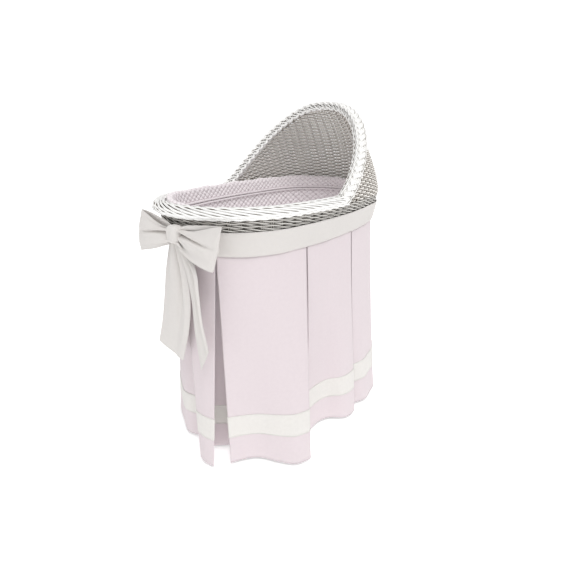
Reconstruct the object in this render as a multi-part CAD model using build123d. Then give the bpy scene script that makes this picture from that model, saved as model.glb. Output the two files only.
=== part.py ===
from build123d import *

import math
import os

# Hooded wicker bassinet basket with a quilted liner and mattress, dressed with a waistband,
# bow and floor-length skirt, standing on a slatted wooden frame with four braked casters.
# Frame: millimetres, +Z up, floor at Z = 0, +X towards the hooded head end, -X the foot end.

os.makedirs("parts", exist_ok=True)

# ----------------------------------------------------------------- basket
ORIGIN_SHIFT = 17.0  # basket centre sits this far along +X, so the origin is under the outline
END_SHARE = 0.92  # end-arc radius of the basket's oval as a share of its half width
BASE_LEVEL = 545.0
BASE_LENGTH = 374.0  # half axes of the oval at the foot of the wall
BASE_WIDTH = 199.0
WALL_LEVEL = 781.0  # where the wall meets its braided rim
WALL_LENGTH = 435.0
WALL_WIDTH = 245.0
WALL_THICKNESS = 8.0
BOARD_THICKNESS = 9.0
RIM_LEVEL = 795.0  # centre line of the braid
RIM_LENGTH = 427.0
RIM_WIDTH = 240.0
BRAID_RADIUS = 13.5

# ----------------------------------------------------------------- hood
HOOD_RISE = 347.0  # vertical half axis of the dome
HOOD_LENGTH = 440.0
HOOD_WIDTH = 248.0
HOOD_START = -22.0  # where the opening edge leaves the rim
HOOD_REACH = 286.0  # how far the opening edge leans towards the head by its top
HOOD_HEIGHT = 278.5  # height of the opening edge above the rim
EDGE_LEAN = 0.787  # exponents of the opening edge's side view and front view
EDGE_FULLNESS = 1.8
EDGE_CORNER = 2.2
HOOD_TOP_SHARE = 0.57  # end-arc share of the dome's uppermost oval
HOOD_LEVELS = 6
EDGE_STEPS = 16
EDGE_GAP = 1.5  # clearance of the shell and of the rim's braid from the edge's braid
EDGE_STEP_BACK = 0.99  # share of a turn from which the edge's direction is taken

# ----------------------------------------------------------------- soft goods
SOFT_GAP = 0.4
LINER_THICKNESS = 12.0
LINER_TOP = 812.0
LINER_LENGTH = 412.0  # half axes of the liner's top edge
LINER_WIDTH = 222.0
PIPING_LEVEL = 772.0
PIPING_RADIUS = 2.5
MATTRESS_LENGTH = 346.0
MATTRESS_WIDTH = 171.0
MATTRESS_THICKNESS = 50.0
SHEET_THICKNESS = 1.5
SHEET_TUCK = 6.0
BAND_TOP = 753.0
BAND_BOTTOM = 685.0
BAND_THICKNESS = 3.0
SKIRT_THICKNESS = 5.0
HEM_LEVEL = 12.0
HEM_LENGTH = 425.0
HEM_WIDTH = 294.0
HEM_SHARE = 0.80
STRIPE_BOTTOM = 108.0
STRIPE_TOP = 184.0
STRIPE_THICKNESS = 2.0

# ----------------------------------------------------------------- bow
BOW_FRONT = -474.0  # foremost plane of the bow
BOW_BACK = -444.0
KNOT_LEVEL = 745.0
KNOT_WIDTH = 40.0
KNOT_HEIGHT = 46.0
LOOP_SPAN = 155.0
LOOP_DROP = 18.0
LOOP_HEIGHT = 114.0
LOOP_DEPTH = 26.0
LOOP_TIP_DEPTH = 40.0
LOOP_FOLD = 8.0
TAIL_THICKNESS = 3.0
TAIL_SIZES = (
    # root offset, root width, tip offset, tip width, length at the long side, slant of the end
    (8.0, 26.0, 92.0, 88.0, 362.0, 34.0),
    (-12.0, 24.0, -66.0, 52.0, 354.0, 62.0),
)

# ----------------------------------------------------------------- stand
LEG_X = 270.0
LEG_Y = 140.0
LEG_SIZE = 28.0
LEG_BOTTOM = 66.0
FRAME_TOP = 533.0
RAIL_HEIGHT = 40.0
RAIL_THICKNESS = 18.0
LOW_RAIL_TOP = 190.0
TOP_RAIL_HALF = 335.0
SLAT_THICKNESS = 12.0
SUPPORT_SLATS = 7
SUPPORT_SPACING = 95.0
SUPPORT_WIDTH = 50.0
SUPPORT_HALF = 150.0
CRADLE_HALF = 204.0  # the two slats that carry the locating blocks reach further out
CRADLE_SLATS = (1, 5)
SHELF_SLATS = 6
SHELF_SPACING = 96.0
SHELF_WIDTH = 60.0
SHELF_THICKNESS = 10.0
SHELF_HALF = 122.0
BLOCK_SIZE = (30.0, 8.0, 24.0)
BLOCK_Y = 199.0
BOLT_DIAMETER = 6.0
BOLT_HEAD_DIAMETER = 14.0
BOLT_HEAD_HEIGHT = 4.0
BOLT_REACH = 80.0  # distance of the bolt's tip from the middle plane
NUT_DIAMETER = 10.0
NUT_LENGTH = 22.0
NUT_Y = 90.0

# ----------------------------------------------------------------- casters
TRAIL = 18.0
WHEEL_DIAMETER = 50.0
WHEEL_WIDTH = 18.0
HUB_DIAMETER = 38.0
HUB_WIDTH = 14.0
AXLE_DIAMETER = 5.0
AXLE_HEAD_DIAMETER = 8.0
AXLE_HEAD_HEIGHT = 2.0
CHEEK_INNER = 9.8
CHEEK_THICKNESS = 3.0
CROWN_BOTTOM = 55.0
CROWN_THICKNESS = 8.0
CROWN_DIAMETER = 28.0
STEM_DIAMETER = 8.0
STEM_LENGTH = 28.0
SOCKET_DIAMETER = 12.0
SOCKET_FLANGE_DIAMETER = 22.0
SOCKET_FLANGE_THICKNESS = 3.0
SOCKET_LENGTH = 34.0
RUNNING_CLEARANCE = 0.2
PEDAL_X = -28.0
PEDAL_PIN_DIAMETER = 3.2
PEDAL_BOSS_DIAMETER = 8.0
PEDAL_WIDTH = 19.0
PEDAL_PLATE_WIDTH = 26.0
PEDAL_LENGTH = 26.0
PEDAL_THICKNESS = 3.0
SHOE_RADIUS = 6.0
SHOE_WIDTH = 4.0

CORNERS = {
    "foot_near": (-LEG_X, -LEG_Y),
    "foot_far": (-LEG_X, LEG_Y),
    "head_near": (LEG_X, -LEG_Y),
    "head_far": (LEG_X, LEG_Y),
}
SIDES = {"near": -1.0, "far": 1.0}
ENDS = {"foot": -1.0, "head": 1.0}
FAR = 700.0  # comfortably outside every piece


def save(name, shape, shift=ORIGIN_SHIFT):
    """Write one node, moved so that the frame's origin is under the outline's centre."""
    export_step(Pos(shift, 0, 0) * shape, f"parts/{name}.step")


def oval_points(half_length, half_width, share):
    """Tangent point of the end arc and the side arc, and the side arc's radius."""
    end = share * half_width
    side = (half_length**2 + half_width**2 - 2 * half_length * end) / (2 * (half_width - end))
    lean = math.atan2(side - half_width, half_length - end)
    join = (half_length - end + end * math.cos(lean), end * math.sin(lean))
    return join, side


def oval(half_length, half_width, level, share=END_SHARE):
    """Four-centre oval at a level: two end arcs and two side arcs, all tangent."""
    (jx, jy), _ = oval_points(half_length, half_width, share)
    arcs = [
        ThreePointArc((jx, jy), (0, half_width), (-jx, jy)),
        ThreePointArc((-jx, jy), (-half_length, 0), (-jx, -jy)),
        ThreePointArc((-jx, -jy), (0, -half_width), (jx, -jy)),
        ThreePointArc((jx, -jy), (half_length, 0), (jx, jy)),
    ]
    return Pos(0, 0, level) * make_face(arcs)


def plate(half_length, half_width, bottom, thickness, share=END_SHARE):
    """Flat oval plate."""
    return extrude(oval(half_length, half_width, bottom, share), thickness)


def taper(low, high, share_low=END_SHARE, share_high=END_SHARE):
    """Solid between two ovals, each given as (half length, half width, level)."""
    return loft([oval(*low, share_low), oval(*high, share_high)], ruled=True)


def ring(low, high, thickness, share_low=END_SHARE, share_high=END_SHARE):
    """Tapering oval tube with a wall of one thickness, open at the top and the bottom."""
    outer = taper(low, high, share_low, share_high)
    inner = taper(
        (low[0] - thickness, low[1] - thickness, low[2]),
        (high[0] - thickness, high[1] - thickness, high[2]),
        share_low,
        share_high,
    )
    return outer - inner


def wall_at(level, grow=0.0):
    """Outer oval of the basket's wall at a level, grown by a distance."""
    share = (level - BASE_LEVEL) / (WALL_LEVEL - BASE_LEVEL)
    length = BASE_LENGTH + (WALL_LENGTH - BASE_LENGTH) * share + grow
    width = BASE_WIDTH + (WALL_WIDTH - BASE_WIDTH) * share + grow
    return (length, width, level)


def block(x, y, z):
    """Box between three (low, high) pairs."""
    size = [pair[1] - pair[0] for pair in (x, y, z)]
    centre = [(pair[0] + pair[1]) / 2 for pair in (x, y, z)]
    return Pos(*centre) * Box(*size)


def rod(diameter, start, end):
    """Round rod between two points."""
    start = Vector(*start)
    axis = Vector(*end) - start
    return extrude(Plane(origin=start, z_dir=axis) * Circle(diameter / 2), axis.length)


# ----------------------------------------------------------------- basket


def edge_point(turn):
    """Point of the hood's opening edge: turn 0 and 180 are its feet, 90 is its top."""
    angle = math.radians(turn)
    rise = math.sin(angle) ** (2 / EDGE_FULLNESS)
    across = math.copysign(abs(math.cos(angle)) ** (2 / EDGE_CORNER), math.cos(angle))
    along = HOOD_START + HOOD_REACH * rise**EDGE_LEAN
    return (along, -RIM_WIDTH * across, RIM_LEVEL + HOOD_HEIGHT * rise)


def rim_braid():
    """Round braid along the rim's foot half."""
    (jx, jy), side = oval_points(RIM_LENGTH, RIM_WIDTH, END_SHARE)

    def on_side(x):
        return RIM_WIDTH - side + math.sqrt(side**2 - x**2)

    middle = (HOOD_START - jx) / 2
    path = (
        ThreePointArc((HOOD_START, -on_side(HOOD_START)), (middle, -on_side(middle)), (-jx, -jy))
        + ThreePointArc((-jx, -jy), (-RIM_LENGTH, 0), (-jx, jy))
        + ThreePointArc((-jx, jy), (middle, on_side(middle)), (HOOD_START, on_side(HOOD_START)))
    )
    path = Pos(0, 0, RIM_LEVEL) * path
    return sweep(Plane(origin=path @ 0, z_dir=path % 0) * Circle(BRAID_RADIUS), path=path)


def edge_turns(count):
    """Turns from one foot of the opening edge to the other, closer together at the feet."""
    return [90 * (1 - math.cos(math.pi * step / count)) for step in range(count + 1)]


def hood_braid():
    """Round braid along the hood's opening edge, joining the rim braid at both feet."""
    points = [edge_point(turn) for turn in edge_turns(EDGE_STEPS)]
    lead = (HOOD_START - BRAID_RADIUS, 0, RIM_LEVEL)
    ends = [(lead[0], side * RIM_WIDTH, lead[2]) for side in SIDES.values()]
    path = Spline([ends[0], *points, ends[1]])
    section = Plane(origin=path @ 0, z_dir=path % 0) * Circle(BRAID_RADIUS)
    head = block((HOOD_START + EDGE_GAP, FAR), (-FAR, FAR), (0, 2 * FAR))
    return sweep(section, path=path) & head


def dome(inset, beyond):
    """Dome over the whole rim, a loft of ovals that grow rounder as they shrink."""
    bottom = WALL_LEVEL - beyond
    top = RIM_LEVEL + HOOD_HEIGHT + BRAID_RADIUS + beyond
    sections = []
    for step in range(HOOD_LEVELS):
        level = bottom + (top - bottom) * math.sin(step / (HOOD_LEVELS - 1) * math.pi / 2)
        scale = math.sqrt(1 - ((level - RIM_LEVEL) / HOOD_RISE) ** 2)
        corner = END_SHARE + (HOOD_TOP_SHARE - END_SHARE) * (level - bottom) / (top - bottom)
        length = HOOD_LENGTH * scale - inset
        sections.append(oval(length, HOOD_WIDTH * scale - inset, level, corner))
    return loft(sections)


def head_side():
    """Prism on the head side of the opening edge, a braid's radius away from its centre line."""
    turns = edge_turns(2 * EDGE_STEPS)[1 : EDGE_STEPS + 1]
    points = []
    for turn in turns:
        x, _, z = edge_point(turn)
        before = edge_point(turn * EDGE_STEP_BACK)
        run, rise = x - before[0], z - before[2]
        length = math.hypot(run, rise)
        reach = (BRAID_RADIUS + EDGE_GAP) / length
        points.append((x + rise * reach, z - run * reach))
    edge = Spline(points)
    low = (points[0][0], 0)
    high = (points[-1][0], 2 * FAR)
    around = Polyline(points[-1], high, (FAR, 2 * FAR), (FAR, 0), low, points[0])
    return extrude(Plane.XZ * make_face(edge + around), FAR / 2, both=True)


def build_basket():
    """Base board, wall, hood shell and both braids."""
    wall = ring(wall_at(BASE_LEVEL), wall_at(WALL_LEVEL), WALL_THICKNESS)
    shell = (dome(0, 0) & head_side()) - dome(WALL_THICKNESS, 2 * SOFT_GAP)
    inner = wall_at(BASE_LEVEL, -WALL_THICKNESS)
    save("base_board", plate(inner[0], inner[1], BASE_LEVEL, BOARD_THICKNESS))
    save("wicker_wall", wall)
    save("hood_shell", shell)
    save("rim_braid", rim_braid())
    save("hood_braid", hood_braid())


# ----------------------------------------------------------------- soft goods


def liner_at(level):
    """Outer oval of the liner at a level."""
    low = wall_at(BASE_LEVEL + BOARD_THICKNESS, -WALL_THICKNESS - SOFT_GAP)
    share = (level - low[2]) / (LINER_TOP - low[2])
    return (
        low[0] + (LINER_LENGTH - low[0]) * share,
        low[1] + (LINER_WIDTH - low[1]) * share,
        level,
    )


def piping():
    """Round cord stitched along the liner's inner face."""
    length, width, _ = liner_at(PIPING_LEVEL)
    inset = LINER_THICKNESS + PIPING_RADIUS + SOFT_GAP
    path = Pos(0, 0, PIPING_LEVEL) * oval(length - inset, width - inset, 0).wire()
    return sweep(Plane(origin=path @ 0, z_dir=path % 0) * Circle(PIPING_RADIUS), path=path)


def fitted_sheet(floor):
    """Cotton sheet over the mattress: a top and sides, open underneath."""
    outer = plate(
        MATTRESS_LENGTH + SHEET_THICKNESS + SOFT_GAP,
        MATTRESS_WIDTH + SHEET_THICKNESS + SOFT_GAP,
        floor + SHEET_TUCK,
        MATTRESS_THICKNESS - SHEET_TUCK + SHEET_THICKNESS + SOFT_GAP,
    )
    inner = plate(
        MATTRESS_LENGTH + SOFT_GAP,
        MATTRESS_WIDTH + SOFT_GAP,
        floor,
        MATTRESS_THICKNESS + SOFT_GAP,
    )
    return outer - inner


def build_bedding():
    """Liner, its piping, the mattress and the fitted sheet."""
    floor = BASE_LEVEL + BOARD_THICKNESS
    save("liner", ring(liner_at(floor + SOFT_GAP), liner_at(LINER_TOP), LINER_THICKNESS))
    save("liner_piping", piping())
    save("mattress", plate(MATTRESS_LENGTH, MATTRESS_WIDTH, floor, MATTRESS_THICKNESS))
    save("fitted_sheet", fitted_sheet(floor))


def skirt_at(level, grow=0.0):
    """Outer oval of the skirt at a level, with the share of its end arcs."""
    high = wall_at(BAND_BOTTOM, SKIRT_THICKNESS + SOFT_GAP)
    share = (BAND_BOTTOM - level) / (BAND_BOTTOM - HEM_LEVEL)
    length = high[0] + (HEM_LENGTH - high[0]) * share + grow
    width = high[1] + (HEM_WIDTH - high[1]) * share + grow
    return (length, width, level), END_SHARE + (HEM_SHARE - END_SHARE) * share


def skirt_ring(bottom, top, thickness, grow):
    """Tube of cloth between two levels of the skirt."""
    low, share_low = skirt_at(bottom, grow)
    high, share_high = skirt_at(top, grow)
    return ring(low, high, thickness, share_low, share_high)


def build_skirt():
    """Waistband round the wall, skirt hanging from its lower edge, and the hem stripe."""
    grow = BAND_THICKNESS + SOFT_GAP
    save("waistband", ring(wall_at(BAND_BOTTOM, grow), wall_at(BAND_TOP, grow), BAND_THICKNESS))
    save("skirt", skirt_ring(HEM_LEVEL, BAND_BOTTOM - SOFT_GAP, SKIRT_THICKNESS, 0))
    save(
        "hem_stripe",
        skirt_ring(STRIPE_BOTTOM, STRIPE_TOP, STRIPE_THICKNESS, STRIPE_THICKNESS + SOFT_GAP),
    )


def bow_loop(side):
    """One puffed loop of the bow, widening from the knot to its rounded end."""
    root = side * (KNOT_WIDTH / 2 + SOFT_GAP)
    sections = []
    for share in (0.0, 0.5, 1.0):
        swell = math.sin(share * math.pi / 2)
        depth = LOOP_DEPTH + (LOOP_TIP_DEPTH - LOOP_DEPTH) * share
        height = KNOT_HEIGHT - 4 + (LOOP_HEIGHT - KNOT_HEIGHT + 4) * swell
        centre = (
            BOW_FRONT + depth / 2,
            root + side * (LOOP_SPAN - KNOT_WIDTH / 2) * share,
            KNOT_LEVEL - LOOP_DROP * share,
        )
        plane = Plane(origin=centre, x_dir=(1, 0, 0), z_dir=(0, side, 0))
        sections.append(plane * RectangleRounded(depth, height, LOOP_FOLD))
    return loft(sections)


def bow_tail(root, root_width, tip, tip_width, length, slant):
    """One flat tail, widening downwards to a slanted end that points away from the other."""
    top = KNOT_LEVEL - KNOT_HEIGHT / 2 - SOFT_GAP
    outward = math.copysign(1, tip)
    outline = Polyline(
        (root - outward * root_width / 2, top),
        (root + outward * root_width / 2, top),
        (tip + outward * tip_width / 2, KNOT_LEVEL - length + slant),
        (tip - outward * tip_width / 2, KNOT_LEVEL - length),
        close=True,
    )
    return extrude(Plane.YZ * make_face(outline), TAIL_THICKNESS)


def build_bow():
    """Knot on the waistband, two loops beside it and two tails under it."""
    seat = -wall_at(BAND_TOP, BAND_THICKNESS + 2 * SOFT_GAP)[0]
    half = KNOT_WIDTH / 2
    knot = block(
        (BOW_FRONT, seat),
        (-half, half),
        (KNOT_LEVEL - KNOT_HEIGHT / 2, KNOT_LEVEL + KNOT_HEIGHT / 2),
    )
    save("bow_knot", fillet(knot.edges(), LOOP_FOLD))
    for name, side in SIDES.items():
        save(f"bow_loop_{name}", bow_loop(side))
    layer = TAIL_THICKNESS + SOFT_GAP
    for index, (name, sizes) in enumerate(zip(reversed(SIDES), TAIL_SIZES)):
        front = BOW_BACK - TAIL_THICKNESS - index * layer
        save(f"bow_tail_{name}", Pos(front, 0, 0) * bow_tail(*sizes))


# ----------------------------------------------------------------- stand


def bolt_levels():
    """Heights of the frame bolts: the middle of the upper and of the lower rails."""
    return (FRAME_TOP - RAIL_HEIGHT / 2, LOW_RAIL_TOP - RAIL_HEIGHT / 2)


def bolt_holes(diameter):
    """All bolt shanks as cutting rods through the legs and rails."""
    return [
        rod(
            diameter,
            (x, math.copysign(LEG_Y + LEG_SIZE, y), level),
            (x, math.copysign(BOLT_REACH, y), level),
        )
        for x, y in CORNERS.values()
        for level in bolt_levels()
    ]


def nut_rods():
    """All cross dowels, upright in the ends of the short rails."""
    return [
        rod(
            NUT_DIAMETER,
            (x, math.copysign(NUT_Y, y), level - NUT_LENGTH / 2),
            (x, math.copysign(NUT_Y, y), level + NUT_LENGTH / 2),
        )
        for x, y in CORNERS.values()
        for level in bolt_levels()
    ]


def build_legs(holes):
    """Four square legs, bored below for the caster sockets."""
    half = LEG_SIZE / 2
    for name, (x, y) in CORNERS.items():
        leg = block((x - half, x + half), (y - half, y + half), (LEG_BOTTOM, FRAME_TOP))
        bore = rod(SOCKET_DIAMETER, (x, y, LEG_BOTTOM), (x, y, LEG_BOTTOM + SOCKET_LENGTH))
        save(f"leg_{name}", leg - bore - holes)


def build_rails(holes):
    """Long rails inside the legs and short rails between them, upper and lower."""
    inner = LEG_Y - LEG_SIZE / 2
    levels = {"top": (FRAME_TOP, TOP_RAIL_HALF), "low": (LOW_RAIL_TOP, LEG_X + LEG_SIZE / 2)}
    nuts = nut_rods()
    for place, (top, half) in levels.items():
        height = (top - RAIL_HEIGHT, top)
        for name, side in SIDES.items():
            across = sorted((side * (inner - RAIL_THICKNESS), side * inner))
            save(f"{place}_rail_{name}", block((-half, half), across, height) - holes)
        for name, end in ENDS.items():
            along = (end * LEG_X - RAIL_THICKNESS / 2, end * LEG_X + RAIL_THICKNESS / 2)
            reach = inner - RAIL_THICKNESS
            rail = block(along, (-reach, reach), height) - holes - nuts
            save(f"{place}_rail_{name}", rail)


def slat_group(halves, spacing, width, bottom, thickness):
    """Evenly spaced cross slats, each its own solid of its own half length."""
    middle = (len(halves) - 1) / 2
    slats = []
    for index, half in enumerate(halves):
        x = (index - middle) * spacing
        along = (x - width / 2, x + width / 2)
        slats.append(block(along, (-half, half), (bottom, bottom + thickness)))
    return Compound(slats)


def locating_blocks():
    """Four blocks on the outer slats that keep the basket from sliding."""
    x, y, z = BLOCK_SIZE
    reach = SUPPORT_SPACING * (CRADLE_SLATS[1] - CRADLE_SLATS[0]) / 2
    return Compound(
        [
            Pos(end * reach, side * BLOCK_Y, BASE_LEVEL + z / 2) * Box(x, y, z)
            for end in ENDS.values()
            for side in SIDES.values()
        ]
    )


def frame_bolts():
    """Eight headed bolts through legs and long rails into the cross dowels."""
    bolts = []
    for x, y in CORNERS.values():
        side = math.copysign(1, y)
        face = side * (LEG_Y + LEG_SIZE / 2)
        for level in bolt_levels():
            shank = rod(BOLT_DIAMETER, (x, face, level), (x, side * BOLT_REACH, level))
            head = rod(
                BOLT_HEAD_DIAMETER, (x, face, level), (x, face + side * BOLT_HEAD_HEIGHT, level)
            )
            bolts.append(shank + head)
    return Compound([bolt.solid() for bolt in bolts])


def barrel_nuts():
    """Eight cross dowels, each with the bolt's hole through it."""
    holes = bolt_holes(BOLT_DIAMETER)
    return Compound([(nut - hole).solid() for nut, hole in zip(nut_rods(), holes)])


def caster_socket(x, y):
    """Flanged sleeve that lines a leg's bore."""
    bottom = LEG_BOTTOM - SOCKET_FLANGE_THICKNESS
    flange = rod(SOCKET_FLANGE_DIAMETER, (x, y, bottom), (x, y, LEG_BOTTOM))
    sleeve = rod(SOCKET_DIAMETER, (x, y, LEG_BOTTOM), (x, y, LEG_BOTTOM + SOCKET_LENGTH))
    bore = rod(
        STEM_DIAMETER + 2 * RUNNING_CLEARANCE,
        (x, y, bottom),
        (x, y, bottom + STEM_LENGTH + 2),
    )
    return flange + sleeve - bore


def build_stand():
    """The wooden frame, its fasteners and the caster sockets."""
    holes = bolt_holes(BOLT_DIAMETER)
    build_legs(holes)
    build_rails(holes)
    halves = [
        CRADLE_HALF if index in CRADLE_SLATS else SUPPORT_HALF for index in range(SUPPORT_SLATS)
    ]
    support = slat_group(halves, SUPPORT_SPACING, SUPPORT_WIDTH, FRAME_TOP, SLAT_THICKNESS)
    save("support_slats", support)
    shelf_halves = [SHELF_HALF] * SHELF_SLATS
    shelf = slat_group(shelf_halves, SHELF_SPACING, SHELF_WIDTH, LOW_RAIL_TOP, SHELF_THICKNESS)
    save("shelf_slats", shelf)
    save("locating_blocks", locating_blocks())
    save("frame_bolts", frame_bolts())
    save("barrel_nuts", barrel_nuts())
    save("caster_sockets", Compound([caster_socket(x, y).solid() for x, y in CORNERS.values()]))


# ----------------------------------------------------------------- casters


def caster_fork():
    """Crown with its stem, two cheeks and the pedal's pin; the swivel axis is X = Y = 0."""
    crown = rod(CROWN_DIAMETER, (0, 0, CROWN_BOTTOM), (0, 0, CROWN_BOTTOM + CROWN_THICKNESS))
    stem_foot = CROWN_BOTTOM + CROWN_THICKNESS
    stem = rod(STEM_DIAMETER, (0, 0, stem_foot), (0, 0, stem_foot + STEM_LENGTH))
    wheel = WHEEL_DIAMETER / 2
    outline = Polyline(
        (CROWN_DIAMETER / 2 - 4, CROWN_BOTTOM + PEDAL_THICKNESS),
        (PEDAL_X - 5, CROWN_BOTTOM + PEDAL_THICKNESS),
        (PEDAL_X - 5, CROWN_BOTTOM - 6),
        (-TRAIL - 7, wheel - 6),
        (-TRAIL + 7, wheel - 6),
        (CROWN_DIAMETER / 2 - 4, CROWN_BOTTOM - 6),
        close=True,
    )
    cheek = extrude(Plane.XZ * make_face(outline), CHEEK_THICKNESS)
    near = Pos(0, -CHEEK_INNER, 0) * cheek
    far = Pos(0, CHEEK_INNER + CHEEK_THICKNESS, 0) * cheek
    outer = CHEEK_INNER + CHEEK_THICKNESS
    pin = rod(PEDAL_PIN_DIAMETER, (PEDAL_X, -outer, CROWN_BOTTOM), (PEDAL_X, outer, CROWN_BOTTOM))
    bore = rod(AXLE_DIAMETER, (-TRAIL, -outer, wheel), (-TRAIL, outer, wheel))
    return crown + stem + near + far + pin - bore


def caster_axle():
    """Headed axle through both cheeks."""
    wheel = WHEEL_DIAMETER / 2
    outer = CHEEK_INNER + CHEEK_THICKNESS
    shank = rod(AXLE_DIAMETER, (-TRAIL, -outer, wheel), (-TRAIL, outer, wheel))
    heads = [
        rod(
            AXLE_HEAD_DIAMETER,
            (-TRAIL, side * outer, wheel),
            (-TRAIL, side * (outer + AXLE_HEAD_HEIGHT), wheel),
        )
        for side in SIDES.values()
    ]
    return shank + heads


def wheel_ring(outer, inner, width):
    """Ring round the wheel's axis."""
    level = WHEEL_DIAMETER / 2
    disc = rod(outer, (-TRAIL, -width / 2, level), (-TRAIL, width / 2, level))
    return disc - rod(inner, (-TRAIL, -width / 2, level), (-TRAIL, width / 2, level))


def brake_pedal():
    """Foot pedal: a bored boss on the fork's pin, a tread behind it and a shoe below it."""
    half = PEDAL_WIDTH / 2
    boss = rod(PEDAL_BOSS_DIAMETER, (PEDAL_X, -half, CROWN_BOTTOM), (PEDAL_X, half, CROWN_BOTTOM))
    neck = block(
        (PEDAL_X - 6, PEDAL_X),
        (-half, half),
        (CROWN_BOTTOM + 1, CROWN_BOTTOM + 1 + PEDAL_THICKNESS),
    )
    tread = block(
        (PEDAL_X - PEDAL_LENGTH, PEDAL_X - 6),
        (-PEDAL_PLATE_WIDTH / 2, PEDAL_PLATE_WIDTH / 2),
        (CROWN_BOTTOM + 1, CROWN_BOTTOM + 1 + PEDAL_THICKNESS),
    )
    shoe = block(
        (PEDAL_X - SHOE_WIDTH / 2, PEDAL_X + SHOE_WIDTH / 2),
        (-half, half),
        (CROWN_BOTTOM - SHOE_RADIUS, CROWN_BOTTOM),
    )
    bore = rod(
        PEDAL_PIN_DIAMETER + 2 * RUNNING_CLEARANCE,
        (PEDAL_X, -half, CROWN_BOTTOM),
        (PEDAL_X, half, CROWN_BOTTOM),
    )
    return boss + neck + tread + shoe - bore


def build_casters():
    """Four identical casters: fork, axle, hub, tyre and brake pedal."""
    pieces = {
        "caster_fork": caster_fork(),
        "caster_axle": caster_axle(),
        "caster_hub": wheel_ring(HUB_DIAMETER, AXLE_DIAMETER + 2 * RUNNING_CLEARANCE, HUB_WIDTH),
        "caster_tyre": wheel_ring(WHEEL_DIAMETER, HUB_DIAMETER, WHEEL_WIDTH),
        "brake_pedal": brake_pedal(),
    }
    for corner, (x, y) in CORNERS.items():
        for name, piece in pieces.items():
            save(f"{name}_{corner}", Pos(x, y, 0) * piece)


build_stand()
build_casters()
build_basket()
build_bedding()
build_skirt()
build_bow()
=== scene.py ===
"""Hooded wicker bassinet with quilted liner, pleated skirt and bow, on its wheeled stand."""

import logging
import math
from collections.abc import Callable, Sequence
from dataclasses import dataclass, field
from enum import Enum

import bmesh
import bpy
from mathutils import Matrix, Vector, kdtree


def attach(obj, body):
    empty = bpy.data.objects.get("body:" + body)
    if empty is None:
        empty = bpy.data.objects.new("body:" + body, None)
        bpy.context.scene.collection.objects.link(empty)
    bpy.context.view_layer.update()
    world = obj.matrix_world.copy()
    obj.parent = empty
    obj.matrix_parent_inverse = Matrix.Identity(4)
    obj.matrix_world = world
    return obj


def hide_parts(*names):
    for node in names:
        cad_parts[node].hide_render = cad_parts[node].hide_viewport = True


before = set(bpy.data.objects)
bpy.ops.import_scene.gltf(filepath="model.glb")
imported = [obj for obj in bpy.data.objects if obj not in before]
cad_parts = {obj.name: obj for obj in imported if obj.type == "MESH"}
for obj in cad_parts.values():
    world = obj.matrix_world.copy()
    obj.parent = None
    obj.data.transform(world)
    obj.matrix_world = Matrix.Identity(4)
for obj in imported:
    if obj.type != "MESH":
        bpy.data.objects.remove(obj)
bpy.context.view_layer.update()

LOG = logging.getLogger("bassinet")
WEAVE_DEPTH = 0.007
BEHIND_SHADE = 0.18

Point = tuple[float, float, float]
Plan = tuple[float, float]
Colour = tuple[float, float, float]


# ------------------------------------------------------------------ small maths


def smooth(value: float) -> float:
    """Ease a share of 0 to 1 in and out."""
    value = min(max(value, 0.0), 1.0)
    return value * value * (3 - 2 * value)


def mix(low: float, high: float, share: float) -> float:
    """Blend two numbers."""
    return low + (high - low) * share


def ripple(seed: float) -> float:
    """Repeatable number from -1 to 1 that looks random."""
    return 2 * ((math.sin(seed * 12.9898) * 43758.5453) % 1.0) - 1


@dataclass(frozen=True)
class Oval:
    """Four-centre oval, walked by its own arc length.

    Attributes:
        length: Half of the long axis.
        width: Half of the short axis.
        share: End-arc radius as a share of the half width.
    """

    length: float
    width: float
    share: float

    def at(self, turn: float) -> tuple[Plan, Plan]:
        """Point and outward normal on the oval.

        Args:
            turn: Share of a full turn from the head end, towards +Y.

        Returns:
            The plan point and the plan normal.
        """
        end = self.share * self.width
        side = (self.length**2 + self.width**2 - 2 * self.length * end) / (
            2 * (self.width - end)
        )
        join = math.atan2(side - self.width, self.length - end)
        quarter = end * join + side * (math.pi / 2 - join)
        turn = turn % 1.0
        fold = turn if turn <= 0.5 else 1.0 - turn
        walk = 4 * (fold if fold <= 0.25 else 0.5 - fold) * quarter
        if walk <= end * join:
            angle = walk / end
            x, y = self.length - end + end * math.cos(angle), end * math.sin(angle)
        else:
            angle = join + (walk - end * join) / side
            x = side * math.cos(angle)
            y = self.width - side + side * math.sin(angle)
        flip_x = 1.0 if fold <= 0.25 else -1.0
        flip_y = 1.0 if turn <= 0.5 else -1.0
        return (x * flip_x, y * flip_y), (math.cos(angle) * flip_x, math.sin(angle) * flip_y)

    def off(self, x: float, y: float) -> tuple[float, Plan]:
        """Distance of a plan point outside the oval, and the outward normal there.

        Args:
            x: Plan position along the oval.
            y: Plan position across it.

        Returns:
            The distance, negative inside, and the normal.
        """
        end = self.share * self.width
        side = (self.length**2 + self.width**2 - 2 * self.length * end) / (
            2 * (self.width - end)
        )
        join = math.atan2(side - self.width, self.length - end)
        dx, dy = abs(x) - (self.length - end), abs(y)
        radius = end
        if math.atan2(dy, dx) > join:
            dx, dy, radius = abs(x), abs(y) - (self.width - side), side
        far = math.hypot(dx, dy) or 1.0
        normal = (math.copysign(dx / far, dx * x or 1.0), math.copysign(dy / far, y or 1.0))
        if dx * x < 0 or dx < 0:
            normal = (math.copysign(abs(dx) / far, x if dx > 0 else -x), normal[1])
        return far - radius, normal


# ------------------------------------------------------------------ shared sizes


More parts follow.
